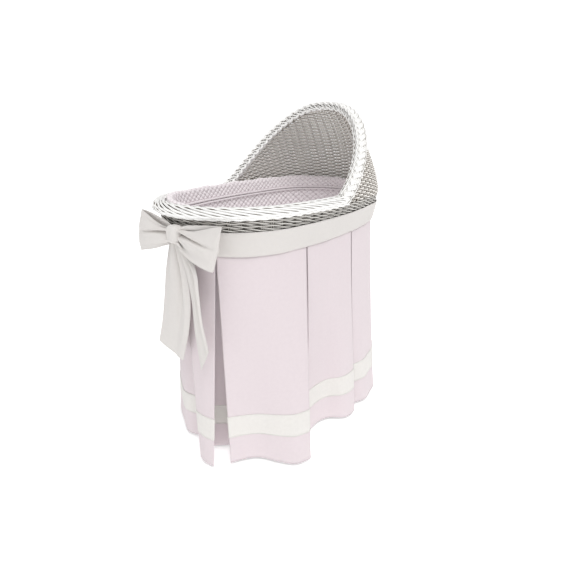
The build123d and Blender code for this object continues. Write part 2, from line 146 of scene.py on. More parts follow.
@dataclass(frozen=True)
class BasketForm:
    """The basket's surfaces: the tapering wall, the dome of the hood and its leaning edge."""

    middle: float = 0.017
    share: float = 0.92
    base_level: float = 0.545
    base: Plan = (0.374, 0.199)
    wall_level: float = 0.781
    wall: Plan = (0.435, 0.245)
    rim_level: float = 0.795
    dome: Plan = (0.440, 0.248)
    dome_rise: float = 0.347
    top_share: float = 0.57
    edge_start: float = -0.022
    edge_reach: float = 0.286
    edge_height: float = 0.2785
    edge_width: float = 0.240
    edge_bend: float = 0.787
    inner: float = 0.005

    def wall_oval(self, level: float, out: float = 0.0) -> Oval:
        """Wall's outer oval at a level, grown outwards.

        Args:
            level: Height above the floor.
            out: Distance to grow it.

        Returns:
            The oval.
        """
        share = (level - self.base_level) / (self.wall_level - self.base_level)
        return Oval(
            mix(self.base[0], self.wall[0], share) + out,
            mix(self.base[1], self.wall[1], share) + out,
            self.share,
        )

    def wall_point(self, turn: float, level: float, out: float = 0.0) -> Vector:
        """Point on the wall, moved outwards."""
        (x, y), (nx, ny) = self.wall_oval(level).at(turn)
        return Vector((self.middle + x + nx * out, y + ny * out, level))

    def edge_point(self, rise: float, side: float) -> Vector:
        """Centre line of the hood's edge at a share of its height, on one side.

        Args:
            rise: Share of the height, 0 to 1.
            side: 1 for +Y, -1 for -Y.

        Returns:
            The point.
        """
        across = max(1 - rise**1.8, 0.0) ** (1 / 2.2)
        return Vector(
            (
                self.middle + self.edge_start + self.edge_reach * rise**self.edge_bend,
                side * self.edge_width * across,
                self.rim_level + self.edge_height * rise,
            )
        )

    def edge_x(self, level: float) -> float:
        """How far towards the head end the hood's edge lies at a level.

        Args:
            level: Height above the floor.

        Returns:
            Distance from the basket's middle.
        """
        rise = min(max((level - self.rim_level) / self.edge_height, 0.0), 1.0)
        return self.edge_start + self.edge_reach * rise**self.edge_bend

    def squeeze(self, x: float, level: float) -> float:
        """Share of its width that the dome keeps beside the leaning edge."""
        return mix(0.965, 1.0, smooth((x - self.edge_x(level)) / 0.22))

    def dome_tip(self, level: float) -> float:
        """Angle by which the dome's outward normal tips upwards at a level."""
        slope = (level - self.rim_level) / self.dome_rise
        return math.atan2(slope * 0.9, math.sqrt(max(1 - slope * slope, 0.05)))

    def dome_oval(self, level: float) -> Oval:
        """Dome's oval at a level.

        Args:
            level: Height above the floor.

        Returns:
            The oval.
        """
        height = (level - self.rim_level) / self.dome_rise
        scale = math.sqrt(max(1 - height * height, 0.02))
        climb = max(level - self.rim_level, 0.0) / self.edge_height
        corner = self.share + (self.top_share - self.share) * min(climb, 1.05)
        return Oval(self.dome[0] * scale, self.dome[1] * scale, corner)

    def dome_point(self, turn: float, level: float, out: float = 0.0) -> Vector:
        """Point on the hood's dome, moved along its outward normal.

        Args:
            turn: Share of a turn from the head end; negative on the near side.
            level: Height above the floor.
            out: Distance outwards.

        Returns:
            The point, drawn in a little beside the leaning edge so that it meets the braid.
        """
        (x, y), (nx, ny) = self.dome_oval(level).at(turn)
        y *= self.squeeze(x, level)
        tip = self.dome_tip(level)
        flat = math.cos(tip) * out
        return Vector((self.middle + x + nx * flat, y + ny * flat, level + math.sin(tip) * out))

    def off_wall(self, point: Vector) -> tuple[float, Vector]:
        """Distance of a point outside the wall's middle, and the outward direction."""
        gap, (nx, ny) = self.wall_oval(point.z).off(point.x - self.middle, point.y)
        return gap + self.inner, Vector((nx, ny, 0.0))

    def off_dome(self, point: Vector) -> tuple[float, Vector]:
        """Distance of a point outside the hood's middle, and the outward direction.

        Args:
            point: The point.

        Returns:
            The distance and the direction.
        """
        x, level = point.x - self.middle, point.z
        gap, (nx, ny) = self.dome_oval(level).off(x, point.y / self.squeeze(x, level))
        tip = self.dome_tip(level)
        flat = math.cos(tip)
        return gap * flat + self.inner, Vector((nx * flat, ny * flat, math.sin(tip)))

    def edge_turn(self, level: float) -> float:
        """Turn at which the dome meets the leaning edge at a level.

        Args:
            level: Height above the floor.

        Returns:
            The turn, found by halving.
        """
        goal = self.edge_x(level)
        oval = self.dome_oval(level)
        low, high = 0.0, 0.5
        for _ in range(24):
            middle = (low + high) / 2
            if oval.at(middle)[0][0] > goal:
                low = middle
            else:
                high = middle
        return low


FORM = BasketForm()


# ------------------------------------------------------------------ finishes


class Slot(Enum):
    """Material slots of the basket's pieces."""

    WICKER = "wicker"
    PINK_COTTON = "pink_cotton"
    PINK_QUILT = "pink_quilt"
    WHITE_COTTON = "white_cotton"
    MATTRESS = "mattress"


class NodeGroup:
    """A shader node group with named inputs and outputs."""

    def __init__(self, name: str) -> None:
        """Start an empty group.

        Args:
            name: The group's name.
        """
        self.tree = bpy.data.node_groups.new(name, "ShaderNodeTree")
        self.inlet = self.tree.nodes.new("NodeGroupInput")
        self.outlet = self.tree.nodes.new("NodeGroupOutput")

    def give(self, name: str, value: float) -> None:
        """Add a number input with its usual value.

        Args:
            name: The socket's name.
            value: Its usual value.
        """
        socket = self.tree.interface.new_socket(name, in_out="INPUT", socket_type="NodeSocketFloat")
        socket.default_value = value

    def take(self, *names: str) -> None:
        """Add number outputs."""
        for name in names:
            self.tree.interface.new_socket(name, in_out="OUTPUT", socket_type="NodeSocketFloat")

    def node(self, kind: str, **settings: object) -> bpy.types.Node:
        """Add a node and set its properties.

        Args:
            kind: The node's type.
            **settings: Properties to set on it.

        Returns:
            The node.
        """
        made = self.tree.nodes.new(kind)
        for key, value in settings.items():
            setattr(made, key, value)
        return made

    def math(self, operation: str, *values: object) -> bpy.types.NodeSocket:
        """Add a maths node over numbers or sockets and return its result.

        Args:
            operation: The maths node's operation.
            *values: Numbers or sockets.

        Returns:
            The result socket.
        """
        made = self.node("ShaderNodeMath", operation=operation)
        for index, value in enumerate(values):
            if isinstance(value, bpy.types.NodeSocket):
                self.tree.links.new(value, made.inputs[index])
            else:
                made.inputs[index].default_value = value
        return made.outputs[0]

    def link(self, source: bpy.types.NodeSocket, target: bpy.types.NodeSocket) -> None:
        """Join two sockets."""
        self.tree.links.new(source, target)


def cloth_weave_group() -> bpy.types.ShaderNodeTree:
    """Plain weave of crossing threads over a piece's UV map, in metres.

    Returns:
        Group with inputs Thread and Wander; outputs Height, Shade and Painted shade, the mask of painted
        shade that is high where the ridge attribute is low.
    """
    group = NodeGroup("Cloth weave")
    group.give("Thread", 0.0009)
    group.give("Wander", 0.5)
    group.take("Height", "Shade", "Painted shade")
    ridge = group.node("ShaderNodeAttribute", attribute_name="ridge")
    # Mask of painted shade: high where the ridge attribute is low.
    shade_mask = group.node("ShaderNodeMapRange", interpolation_type="SMOOTHSTEP")
    shade_mask.inputs["From Min"].default_value = 0.05
    shade_mask.inputs["From Max"].default_value = 0.42
    shade_mask.inputs["To Min"].default_value = 1.0
    shade_mask.inputs["To Max"].default_value = 0.0
    group.link(ridge.outputs["Fac"], shade_mask.inputs["Value"])
    place = group.node("ShaderNodeUVMap", uv_map="cloth")
    split = group.node("ShaderNodeSeparateXYZ")
    group.link(place.outputs[0], split.inputs[0])
    slub = group.node("ShaderNodeTexNoise")
    slub.inputs["Scale"].default_value = 90.0
    slub.inputs["Detail"].default_value = 3.0
    group.link(place.outputs[0], slub.inputs["Vector"])
    bend = group.math("MULTIPLY", group.math("SUBTRACT", slub.outputs[0], 0.5), group.inlet.outputs[1])
    thread = group.inlet.outputs[0]
    warp = group.math("ADD", group.math("DIVIDE", split.outputs[0], thread), bend)
    weft = group.math("ADD", group.math("DIVIDE", split.outputs[1], thread), bend)
    across = group.math("SINE", group.math("MULTIPLY", warp, math.tau))
    along = group.math("SINE", group.math("MULTIPLY", weft, math.tau))
    height = group.math("MULTIPLY", group.math("ADD", across, along), 0.25)
    raised = group.math("ADD", height, 0.5)
    group.link(raised, group.outlet.inputs[0])
    group.link(slub.outputs[0], group.outlet.inputs[1])
    group.link(shade_mask.outputs[0], group.outlet.inputs[2])
    return group.tree


def willow_grain_group() -> bpy.types.ShaderNodeTree:
    """Long fibres and brush marks over painted willow, on object coordinates, with the mask of painted
    shade in the weave's gaps.

    Returns:
        Group with inputs Size and Shade reach; outputs Height, Wear, Tone and Painted gap shade, the
        mask of painted shade that is high where the ridge attribute is low.
    """
    group = NodeGroup("Willow grain")
    group.give("Size", 60.0)
    group.give("Shade reach", 0.6)
    group.take("Height", "Wear", "Tone", "Painted gap shade")
    place = group.node("ShaderNodeTexCoord")
    # The ridge attribute is low in the weave's gaps and behind it; there the shade is painted.
    ridge = group.node("ShaderNodeAttribute", attribute_name="ridge")
    shade_mask = group.node("ShaderNodeMapRange", interpolation_type="SMOOTHSTEP")
    shade_mask.inputs["From Min"].default_value = 0.12
    shade_mask.inputs["To Min"].default_value = 1.0
    shade_mask.inputs["To Max"].default_value = 0.0
    group.link(ridge.outputs["Fac"], shade_mask.inputs["Value"])
    group.link(group.inlet.outputs[1], shade_mask.inputs["From Max"])
    fibre = group.node("ShaderNodeTexNoise")
    fibre.inputs["Detail"].default_value = 5.0
    fibre.inputs["Roughness"].default_value = 0.65
    group.link(group.inlet.outputs[0], fibre.inputs["Scale"])
    group.link(place.outputs["Object"], fibre.inputs["Vector"])
    broad = group.node("ShaderNodeTexNoise")
    broad.inputs["Scale"].default_value = 9.0
    broad.inputs["Detail"].default_value = 2.0
    group.link(place.outputs["Object"], broad.inputs["Vector"])
    worn = group.node("ShaderNodeMapRange")
    worn.inputs["From Min"].default_value = 0.56
    worn.inputs["From Max"].default_value = 0.74
    group.link(fibre.outputs[0], worn.inputs["Value"])
    group.link(fibre.outputs[0], group.outlet.inputs[0])
    group.link(worn.outputs[0], group.outlet.inputs[1])
    group.link(broad.outputs[0], group.outlet.inputs[2])
    group.link(shade_mask.outputs[0], group.outlet.inputs[3])
    return group.tree


@dataclass(frozen=True)
class Finish:
    """Base of every finish: a name, two colours and the Principled numbers."""

    name: str
    colour: Colour
    second: Colour
    roughness: float = 0.6
    metallic: float = 0.0
    sheen: float = 0.0

    def start(self) -> tuple[bpy.types.Material, bpy.types.Node]:
        """Make the material with its constant numbers on the Principled node.

        Returns:
            The material and its Principled node.
        """
        material = bpy.data.materials.new(self.name)
        material.use_nodes = True
        surface = material.node_tree.nodes["Principled BSDF"]
        surface.inputs["Roughness"].default_value = self.roughness
        surface.inputs["Metallic"].default_value = self.metallic
        surface.inputs["Sheen Weight"].default_value = self.sheen
        surface.inputs["Sheen Roughness"].default_value = 0.5
        surface.inputs["Base Color"].default_value = (*self.colour, 1.0)
        return material, surface

    def two_tone(
        self, tree: bpy.types.NodeTree, factor: bpy.types.NodeSocket, surface: bpy.types.Node
    ) -> None:
        """Blend the two colours by a mask into Base Color.

        Args:
            tree: The material's nodes.
            factor: Share of the second colour.
            surface: The Principled node.
        """
        blend = tree.nodes.new("ShaderNodeMix")
        blend.data_type = "RGBA"
        blend.inputs[6].default_value = (*self.colour, 1.0)
        blend.inputs[7].default_value = (*self.second, 1.0)
        tree.links.new(factor, blend.inputs[0])
        tree.links.new(blend.outputs[2], surface.inputs["Base Color"])

    def paint_shade(
        self,
        tree: bpy.types.NodeTree,
        surface: bpy.types.Node,
        colour: Colour,
        mask: bpy.types.NodeSocket,
    ) -> None:
        """Blend a painted-shade colour over Base Color by a mask.

        Args:
            tree: The material's nodes.
            surface: The Principled node.
            colour: The shade colour.
            mask: Where the painted shade falls.
        """
        before = surface.inputs["Base Color"].links[0].from_socket
        blend = tree.nodes.new("ShaderNodeMix")
        blend.data_type = "RGBA"
        blend.inputs[7].default_value = (*colour, 1.0)
        tree.links.new(mask, blend.inputs[0])
        tree.links.new(before, blend.inputs[6])
        tree.links.new(blend.outputs[2], surface.inputs["Base Color"])

    def raise_surface(
        self,
        tree: bpy.types.NodeTree,
        height: bpy.types.NodeSocket,
        surface: bpy.types.Node,
        depth: float,
        strength: float,
    ) -> None:
        """Feed a height into the Normal through a Bump node.

        Args:
            tree: The material's nodes.
            height: The height.
            surface: The Principled node.
            depth: Depth of a full height, in metres.
            strength: Share of the bump that is used.
        """
        bump = tree.nodes.new("ShaderNodeBump")
        bump.inputs["Distance"].default_value = depth
        bump.inputs["Strength"].default_value = strength
        tree.links.new(height, bump.inputs["Height"])
        tree.links.new(bump.outputs[0], surface.inputs["Normal"])


@dataclass(frozen=True)
class ClothFinish(Finish):
    """Plain woven cotton, with painted shade where the ridge attribute is low: in quilted seams and
    behind pleat edges, where a seam colour is given.
    """

    # Colour of the painted shade in quilted seams and behind pleat edges.
    seam: Colour | None = None
    thread: float = 0.0009
    wander: float = 0.6
    depth: float = 0.0002

    def build(self, group: bpy.types.ShaderNodeTree) -> bpy.types.Material:
        """Make the material.

        Args:
            group: The cloth weave group.

        Returns:
            The material.
        """
        material, surface = self.start()
        tree = material.node_tree
        weave = tree.nodes.new("ShaderNodeGroup")
        weave.node_tree = group
        weave.inputs["Thread"].default_value = self.thread
        weave.inputs["Wander"].default_value = self.wander
        self.two_tone(tree, weave.outputs["Shade"], surface)
        # Painted shade where the ridge attribute is low.
        if self.seam:
            self.paint_shade(tree, surface, self.seam, weave.outputs["Painted shade"])
        self.raise_surface(tree, weave.outputs["Height"], surface, self.depth, 0.5)
        return material


@dataclass(frozen=True)
class WillowFinish(Finish):
    """Painted willow rods, with a dark brown painted shade in the gaps of the weave and on the rod parts
    lying behind it.
    """

    # Colour of the painted shade in the weave's gaps.
    gap_shade: Colour = (0.155, 0.120, 0.080)
    # How far up the ridge attribute the painted shade reaches.
    shade_reach: float = 0.92
    size: float = 70.0
    depth: float = 0.0005

    def build(self, group: bpy.types.ShaderNodeTree) -> bpy.types.Material:
        """Make the material.

        Args:
            group: The willow grain group.

        Returns:
            The material.
        """
        material, surface = self.start()
        tree = material.node_tree
        grain = tree.nodes.new("ShaderNodeGroup")
        grain.node_tree = group
        grain.inputs["Size"].default_value = self.size
        grain.inputs["Shade reach"].default_value = self.shade_reach
        self.two_tone(tree, grain.outputs["Wear"], surface)
        # Painted shade in the gaps of the weave and behind it.
        self.paint_shade(tree, surface, self.gap_shade, grain.outputs["Painted gap shade"])
        self.raise_surface(tree, grain.outputs["Height"], surface, self.depth, 0.6)
        return material


@dataclass(frozen=True)
class HardFinish(Finish):
    """Painted wood, plated metal, moulded plastic or rubber."""

    size: float = 40.0
    depth: float = 0.0001

    def build(self, group: bpy.types.ShaderNodeTree) -> bpy.types.Material:
        """Make the material.

        Args:
            group: The grain group.

        Returns:
            The material.
        """
        material, surface = self.start()
        tree = material.node_tree
        grain = tree.nodes.new("ShaderNodeGroup")
        grain.node_tree = group
        grain.inputs["Size"].default_value = self.size
        self.two_tone(tree, grain.outputs["Tone"], surface)
        self.raise_surface(tree, grain.outputs["Height"], surface, self.depth, 0.4)
        return material


class Finishes:
    """All of the object's materials."""

    def __init__(self) -> None:
        """Build the shared groups and every material."""
        cloth, grain = cloth_weave_group(), willow_grain_group()
        # Willow finishes: each paints shade in the weave's gaps with gap_shade and shade_reach.
        self.willow = WillowFinish(
            "White willow", (0.99, 0.96, 0.915), (0.92, 0.875, 0.80), 0.5, shade_reach=0.88, size=120.0
        ).build(grain)
        # Shaded copy of the willow for the waling, which lies in the rim's shadow: darker colours and a
        # darker, wider painted shade in the gaps.
        self.waling = WillowFinish(
            "Shaded white willow waling",
            (0.96, 0.935, 0.89),
            (0.82, 0.77, 0.69),
            0.5,
            gap_shade=(0.055, 0.042, 0.030),
            shade_reach=1.25,
            size=120.0,
        ).build(grain)
        self.border = WillowFinish(
            "White willow border", (0.99, 0.985, 0.97), (0.90, 0.885, 0.85), 0.45, shade_reach=0.36, size=120.0
        ).build(grain)
        # Its seam colour is the painted shade behind the skirt's pleat edges.
        self.pink = ClothFinish(
            "Pink cotton",
            (0.708, 0.63, 0.654),
            (0.75, 0.674, 0.695),
            0.85,
            sheen=0.12,
            seam=(0.52, 0.43, 0.465),
        ).build(cloth)
        # Its seam colour is the painted shade in the quilting's seams.
        self.quilt = ClothFinish(
            "Pink quilt",
            (0.93, 0.865, 0.89),
            (0.96, 0.905, 0.925),
            0.85,
            sheen=0.12,
            seam=(0.62, 0.53, 0.565),
        ).build(cloth)
        self.piping = ClothFinish(
            "Pink cord cover", (0.88, 0.81, 0.835), (0.92, 0.86, 0.88), 0.8, sheen=0.12
        ).build(cloth)
        self.white = ClothFinish(
            "Off-white cotton", (0.69, 0.661, 0.638), (0.731, 0.703, 0.68), 0.85, sheen=0.12
        ).build(cloth)
        self.stripe = ClothFinish(
            "Cream cotton", (0.73, 0.709, 0.68), (0.80, 0.78, 0.75), 0.85, sheen=0.12
        ).build(cloth)
        self.sheet = ClothFinish(
            "White sheet", (0.85, 0.84, 0.84), (0.9, 0.89, 0.89), 0.85, sheen=0.2, thread=0.0006
        ).build(cloth)
        self.paint = HardFinish(
            "White satin paint", (0.84, 0.84, 0.82), (0.79, 0.785, 0.76), 0.35, size=55.0
        ).build(grain)
        self.board = HardFinish(
            "Painted plywood", (0.80, 0.78, 0.73), (0.70, 0.67, 0.61), 0.6, size=30.0
        ).build(grain)
        self.zinc = HardFinish(
            "Zinc plate", (0.62, 0.63, 0.65), (0.52, 0.53, 0.55), 0.32, metallic=1.0, size=160.0
        ).build(grain)
        self.nylon = HardFinish(
            "White nylon", (0.80, 0.80, 0.79), (0.72, 0.72, 0.71), 0.45, size=200.0
        ).build(grain)
        self.rubber = HardFinish(
            "Grey rubber", (0.22, 0.22, 0.22), (0.28, 0.28, 0.27), 0.75, size=300.0
        ).build(grain)
        self.pedal = HardFinish(
            "Grey plastic", (0.35, 0.36, 0.38), (0.42, 0.43, 0.44), 0.5, size=220.0
        ).build(grain)


# ------------------------------------------------------------------ mesh makers


def place_object(
    name: str, mesh: bpy.types.Mesh, material: bpy.types.Material, slot: Slot
) -> bpy.types.Object:
    """Put a mesh in the scene on the basket's body, with its finish.

    Args:
        name: The piece's name.
        mesh: Its mesh, with the place already in it.
        material: Its finish.
        slot: Not used.

    Returns:
        The new object.
    """
    made = bpy.data.objects.new(name, mesh)
    bpy.context.scene.collection.objects.link(made)
    mesh.materials.clear()
    mesh.materials.append(material)
    mesh.shade_smooth()
    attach(made, "basket")
    return made


def draped_grid(
    name: str,
    across: int,
    up: int,
    place: Callable[[float, float], Vector],
    size: Plan,
    closed: bool = False,
    ridge: Callable[[float, float], float] | None = None,
) -> bpy.types.Mesh:
    """Sheet made from a grid whose points are carried onto a surface.

    Args:
        name: The mesh's name.
        across: Number of faces along the first way.
        up: Number of faces along the second way.
        place: Surface point for two shares of 0 to 1.
        size: Real width and height, for the cloth's UV map in metres.
        closed: True if the first way runs round and meets itself.
        ridge: Value of the ridge attribute at two shares of 0 to 1, such as the height of the quilting;
            finishes paint shade where it is low.

    Returns:
        The mesh.
    """
    bm = bmesh.new()
    bmesh.ops.create_grid(bm, x_segments=across, y_segments=up, size=0.5)
    layer = bm.loops.layers.uv.new("cloth")
    for face in bm.faces:
        for loop in face.loops:
            at = loop.vert.co
            loop[layer].uv = ((at.x + 0.5) * size[0], (at.y + 0.5) * size[1])
    height = bm.verts.layers.float.new("ridge")
    for vert in bm.verts:
        one = min(max(vert.co.x + 0.5, 0.0), 1.0)
        two = min(max(vert.co.y + 0.5, 0.0), 1.0)
        vert[height] = ridge(one, two) if ridge else 1.0
        vert.co = place(one, two)
    if closed:
        bmesh.ops.remove_doubles(bm, verts=bm.verts, dist=1e-5)
    bmesh.ops.recalc_face_normals(bm, faces=bm.faces)
    mesh = bpy.data.meshes.new(name)
    bm.to_mesh(mesh)
    bm.free()
    return mesh


def thicken(piece: bpy.types.Object, thickness: float, offset: float = -1.0) -> None:
    """Give a sheet its thickness and apply it.

    Args:
        piece: The sheet.
        thickness: Its thickness.
        offset: Side it grows to: -1 inwards, 0 both.
    """
    modifier = piece.modifiers.new("Cloth thickness", "SOLIDIFY")
    modifier.thickness = thickness
    modifier.offset = offset
    modifier.use_even_offset = False
    apply_modifiers(piece)


def apply_modifiers(piece: bpy.types.Object) -> None:
    """Replace a piece's mesh with its evaluated one.

    Args:
        piece: The piece.
    """
    graph = bpy.context.evaluated_depsgraph_get()
    done = bpy.data.meshes.new_from_object(piece.evaluated_get(graph))
    old = piece.data
    piece.modifiers.clear()
    piece.data = done
    bpy.data.meshes.remove(old)


class Rods:
    """Willow rods laid as splines and turned into one mesh."""

    def __init__(self, name: str, radius: float, flat: float = 1.0, resolution: int = 2) -> None:
        """Start an empty bundle.

        Args:
            name: The piece's name.
            radius: Rod radius.
            flat: Thickness across the surface as a share of the height along it.
            resolution: Points per spline segment.
        """
        self.name = name
        self.curve = bpy.data.curves.new(name, "CURVE")
        self.curve.dimensions = "3D"
        self.curve.resolution_u = resolution
        self.curve.use_fill_caps = True
        self.profile: bpy.types.Object | None = None
        if flat == 1.0:
            self.curve.bevel_depth = radius
            self.curve.bevel_resolution = 1
        else:
            self.profile = self.flat_profile(radius, flat)
            self.curve.bevel_mode = "OBJECT"
            self.curve.bevel_object = self.profile
            self.curve.twist_mode = "Z_UP"

    @staticmethod
    def flat_profile(radius: float, flat: float) -> bpy.types.Object:
        """Six-sided flattened section.

        Args:
            radius: Half of its height.
            flat: Thickness as a share of the height.

        Returns:
            The section's object, removed again once the rods are built.
        """
        outline = bpy.data.curves.new("Rod section", "CURVE")
        outline.dimensions = "2D"
        spline = outline.splines.new("POLY")
        spline.points.add(5)
        for index, point in enumerate(spline.points):
            angle = math.tau * index / 6
            point.co = (radius * flat * math.sin(angle), radius * math.cos(angle), 0, 1)
        spline.use_cyclic_u = True
        made = bpy.data.objects.new("Rod section", outline)
        bpy.context.scene.collection.objects.link(made)
        return made

    def lay(self, points: Sequence[Vector], closed: bool = False) -> None:
        """Add one rod through control points.

        Args:
            points: Control points.
            closed: True if the rod meets itself.
        """
        spline = self.curve.splines.new("NURBS")
        spline.points.add(len(points) - 1)
        for target, point in zip(spline.points, points):
            target.co = (*point, 1.0)
        spline.order_u = 3
        spline.use_cyclic_u = closed
        spline.use_endpoint_u = not closed

    def build(
        self,
        material: bpy.types.Material,
        slot: Slot,
        off: Callable[[Vector], tuple[float, Vector]] | None = None,
    ) -> bpy.types.Object:
        """Turn the rods into one mesh piece.

        Args:
            material: The finish.
            slot: The record's material slot.
            off: Reads a point's distance outside the weave's middle and the outward direction, for the
                ridge attribute, the mask of painted shade: low in the gaps between rods and on rod parts
                behind the weave's middle.

        Returns:
            The piece.
        """
        holder = bpy.data.objects.new(self.name + " path", self.curve)
        bpy.context.scene.collection.objects.link(holder)
        graph = bpy.context.evaluated_depsgraph_get()
        mesh = bpy.data.meshes.new_from_object(holder.evaluated_get(graph))
        bpy.data.objects.remove(holder)
        if self.profile:
            bpy.data.objects.remove(self.profile)
        bm = bmesh.new()
        bm.from_mesh(mesh)
        bmesh.ops.remove_doubles(bm, verts=bm.verts, dist=1e-6)
        bmesh.ops.recalc_face_normals(bm, faces=bm.faces)
        if off:
            bm.normal_update()
            # Painted-shade mask: low where a rod's side faces into a gap, lower still where it lies
            # behind the weave's middle.
            layer = bm.verts.layers.float.new("ridge")
            for vert in bm.verts:
                far, outward = off(vert.co)
                facing = vert.normal.dot(outward)
                front = min(max(0.5 + math.copysign(1.0, facing) * far / WEAVE_DEPTH, 0.0), 1.0)
                vert[layer] = abs(facing) * mix(BEHIND_SHADE, 1.0, front)
        bm.to_mesh(mesh)
        bm.free()
        return place_object(self.name, mesh, material, slot)


# ------------------------------------------------------------------ basket


def step_at(path: Sequence[Vector], index: int) -> Vector:
    """Step from the point before to the point after along a path."""
    return path[min(index + 1, len(path) - 1)] - path[max(index - 1, 0)]


def away_from(path: Sequence[Vector]) -> Callable[[Vector], tuple[float, Vector]]:
    """Make a reader of the direction away from a path, for a border's ridge attribute, the mask of its
    painted shade.

    Args:
        path: Points of the border's centre line.

    Returns:
        A function from a point to a distance in front and the direction outwards.
    """
    tree = kdtree.KDTree(len(path))
    for index, centre in enumerate(path):
        tree.insert(centre, index)
    tree.balance()

    def off(point: Vector) -> tuple[float, Vector]:
        """Direction from the nearest point of the path."""
        return 1.0, (point - tree.find(point)[0]).normalized()

    return off


@dataclass
class WickerBasket:
    """Woven wall, hood and plaited borders."""

    finishes: Finishes
    stakes: int = 80
    rod: float = 0.0030
    stake_rod: float = 0.0021
    pitch: float = 0.0064
    depth: float = -0.005
    plain_top: float = 0.752
    lean: float = 0.55
    braid_gap: float = 0.0043
    waling_rod: float = 0.0023
    border_rod: float = 0.0033
    border_count: int = 13
    plait_rod: float = 0.0026
    cord_rods: int = 3
    cord_lay: float = 0.046
    rim_oval: Plan = (0.427, 0.240)
    rim_half: Plan = (0.0165, 0.0100)
    rim_lay: float = 0.44
    rim_points: int = 230
    plait_half: Plan = (0.0130, 0.0038)
    plait_period: float = 0.132
    plait_layers: Plan = (0.0085, -0.0085)

    def swing(self, stake: int, row: int, reach: float = 0.0090) -> float:
        """Distance out of the wall's middle at which a control point is laid."""
        return reach if (stake + row) % 2 == 0 else -reach

    def wall_rows(self) -> bpy.types.Object:
        """Plain weave round the wall, from the base up to the waling.

        Returns:
            The piece.
        """
        rods = Rods("wall_weavers", self.rod, 0.55)
        rows = int((self.plain_top - FORM.base_level) / self.pitch)
        for row in range(rows):
            level = FORM.base_level + (row + 0.5) * self.pitch
            points = [
                FORM.wall_point(stake / self.stakes, level, self.depth + self.swing(stake, row))
                for stake in range(self.stakes)
            ]
            rods.lay(points, closed=True)
        return rods.build(self.finishes.willow, Slot.WICKER, FORM.off_wall)

    def waling_rows(self) -> bpy.types.Object:
        """Three-rod waling under the rim: each rod passes two stakes outside, one inside.

        Returns:
            The piece.
        """
        rods = Rods("waling", self.waling_rod, 0.75)
        bands, strands = 3, 3
        height = (FORM.wall_level - self.plain_top) / bands
        count = self.stakes * 3 // 2
        for band in range(bands):
            for strand in range(strands):
                points = []
                for step in range(count):
                    phase = (step / 6 + strand / strands) % 1.0
                    out = 0.0058 * math.sin(math.tau * phase) + 0.0012
                    lift = 0.0036 * math.cos(math.tau * phase)
                    level = self.plain_top + (band + 0.5) * height + lift
                    level += 0.0006 * ripple(step + 31 * strand + 97 * band)
                    points.append(FORM.wall_point(step / count, level, self.depth + out))
                rods.lay(points, closed=True)
        return rods.build(self.finishes.waling, Slot.WICKER, FORM.off_wall)

    def wall_stakes(self) -> bpy.types.Object:
        """Upright stakes of the wall.

        Returns:
            The piece.
        """
        rods = Rods("wall_stakes", self.stake_rod)
        for stake in range(self.stakes):
            for shift in (-0.0012, 0.0012):
                turn = stake / self.stakes + shift
                points = [
                    FORM.wall_point(turn, level, self.depth)
                    for level in (FORM.base_level + 0.002, 0.66, FORM.wall_level + 0.006)
                ]
                rods.lay(points)
        return rods.build(self.finishes.willow, Slot.WICKER, FORM.off_wall)

    def hood_levels(self) -> list[float]:
        """Levels of the hood's rows, one pitch apart along the dome's ridge.

        Returns:
            The levels.
        """
        levels = []
        level = FORM.wall_level + 0.004
        top = FORM.rim_level + FORM.edge_height - 0.004
        while level < top:
            levels.append(level)
            height = (level - FORM.rim_level) / FORM.dome_rise
            slope = FORM.dome[0] / FORM.dome_rise * height / math.sqrt(max(1 - height**2, 0.05))
            level += self.pitch / math.hypot(1.0, slope * 0.8)
        return levels

    def stake_turn(self, stake: float, level: float) -> float:
        """Turn of a hood stake, which leans towards the opening as it rises."""
        climb = max(level - FORM.rim_level, 0.0) / FORM.edge_height
        return stake / self.stakes * (1 + self.lean * climb)

    def hood_rows(self) -> bpy.types.Object:
        """Plain weave of the hood, each row from edge to edge round the head.

        Returns:
            The piece.
        """
        rods = Rods("hood_weavers", self.rod, 0.55)
        for row, level in enumerate(self.hood_levels()):
            edge = FORM.edge_turn(level) + 0.002
            reach = int(self.stakes * 0.3)
            points = [FORM.dome_point(-edge, level, self.depth)]
            for stake in range(-reach, reach + 1):
                turn = self.stake_turn(stake, level)
                if abs(turn) < edge - 0.004:
                    points.append(
                        FORM.dome_point(turn, level, self.depth + self.swing(stake, row))
                    )
            points.append(FORM.dome_point(edge, level, self.depth))
            if len(points) > 3:
                rods.lay(points)
        return rods.build(self.finishes.willow, Slot.WICKER, FORM.off_dome)

    def hood_stakes(self) -> bpy.types.Object:
        """Leaning stakes of the hood, from the rim to the edge braid.

        Returns:
            The piece.
        """
        rods = Rods("hood_stakes", self.stake_rod)
        levels = [FORM.wall_level - 0.004 + step * 0.012 for step in range(25)]
        for stake in range(-int(self.stakes * 0.26), int(self.stakes * 0.26) + 1):
            for shift in (-0.05, 0.05):
                points = []
                for level in levels:
                    turn = self.stake_turn(stake + shift * 2, level)
                    if abs(turn) > FORM.edge_turn(level) + 0.002 or level > 1.07:
                        break
                    points.append(FORM.dome_point(turn, level, self.depth))
                if len(points) > 2:
                    rods.lay(points)
        return rods.build(self.finishes.willow, Slot.WICKER, FORM.off_dome)

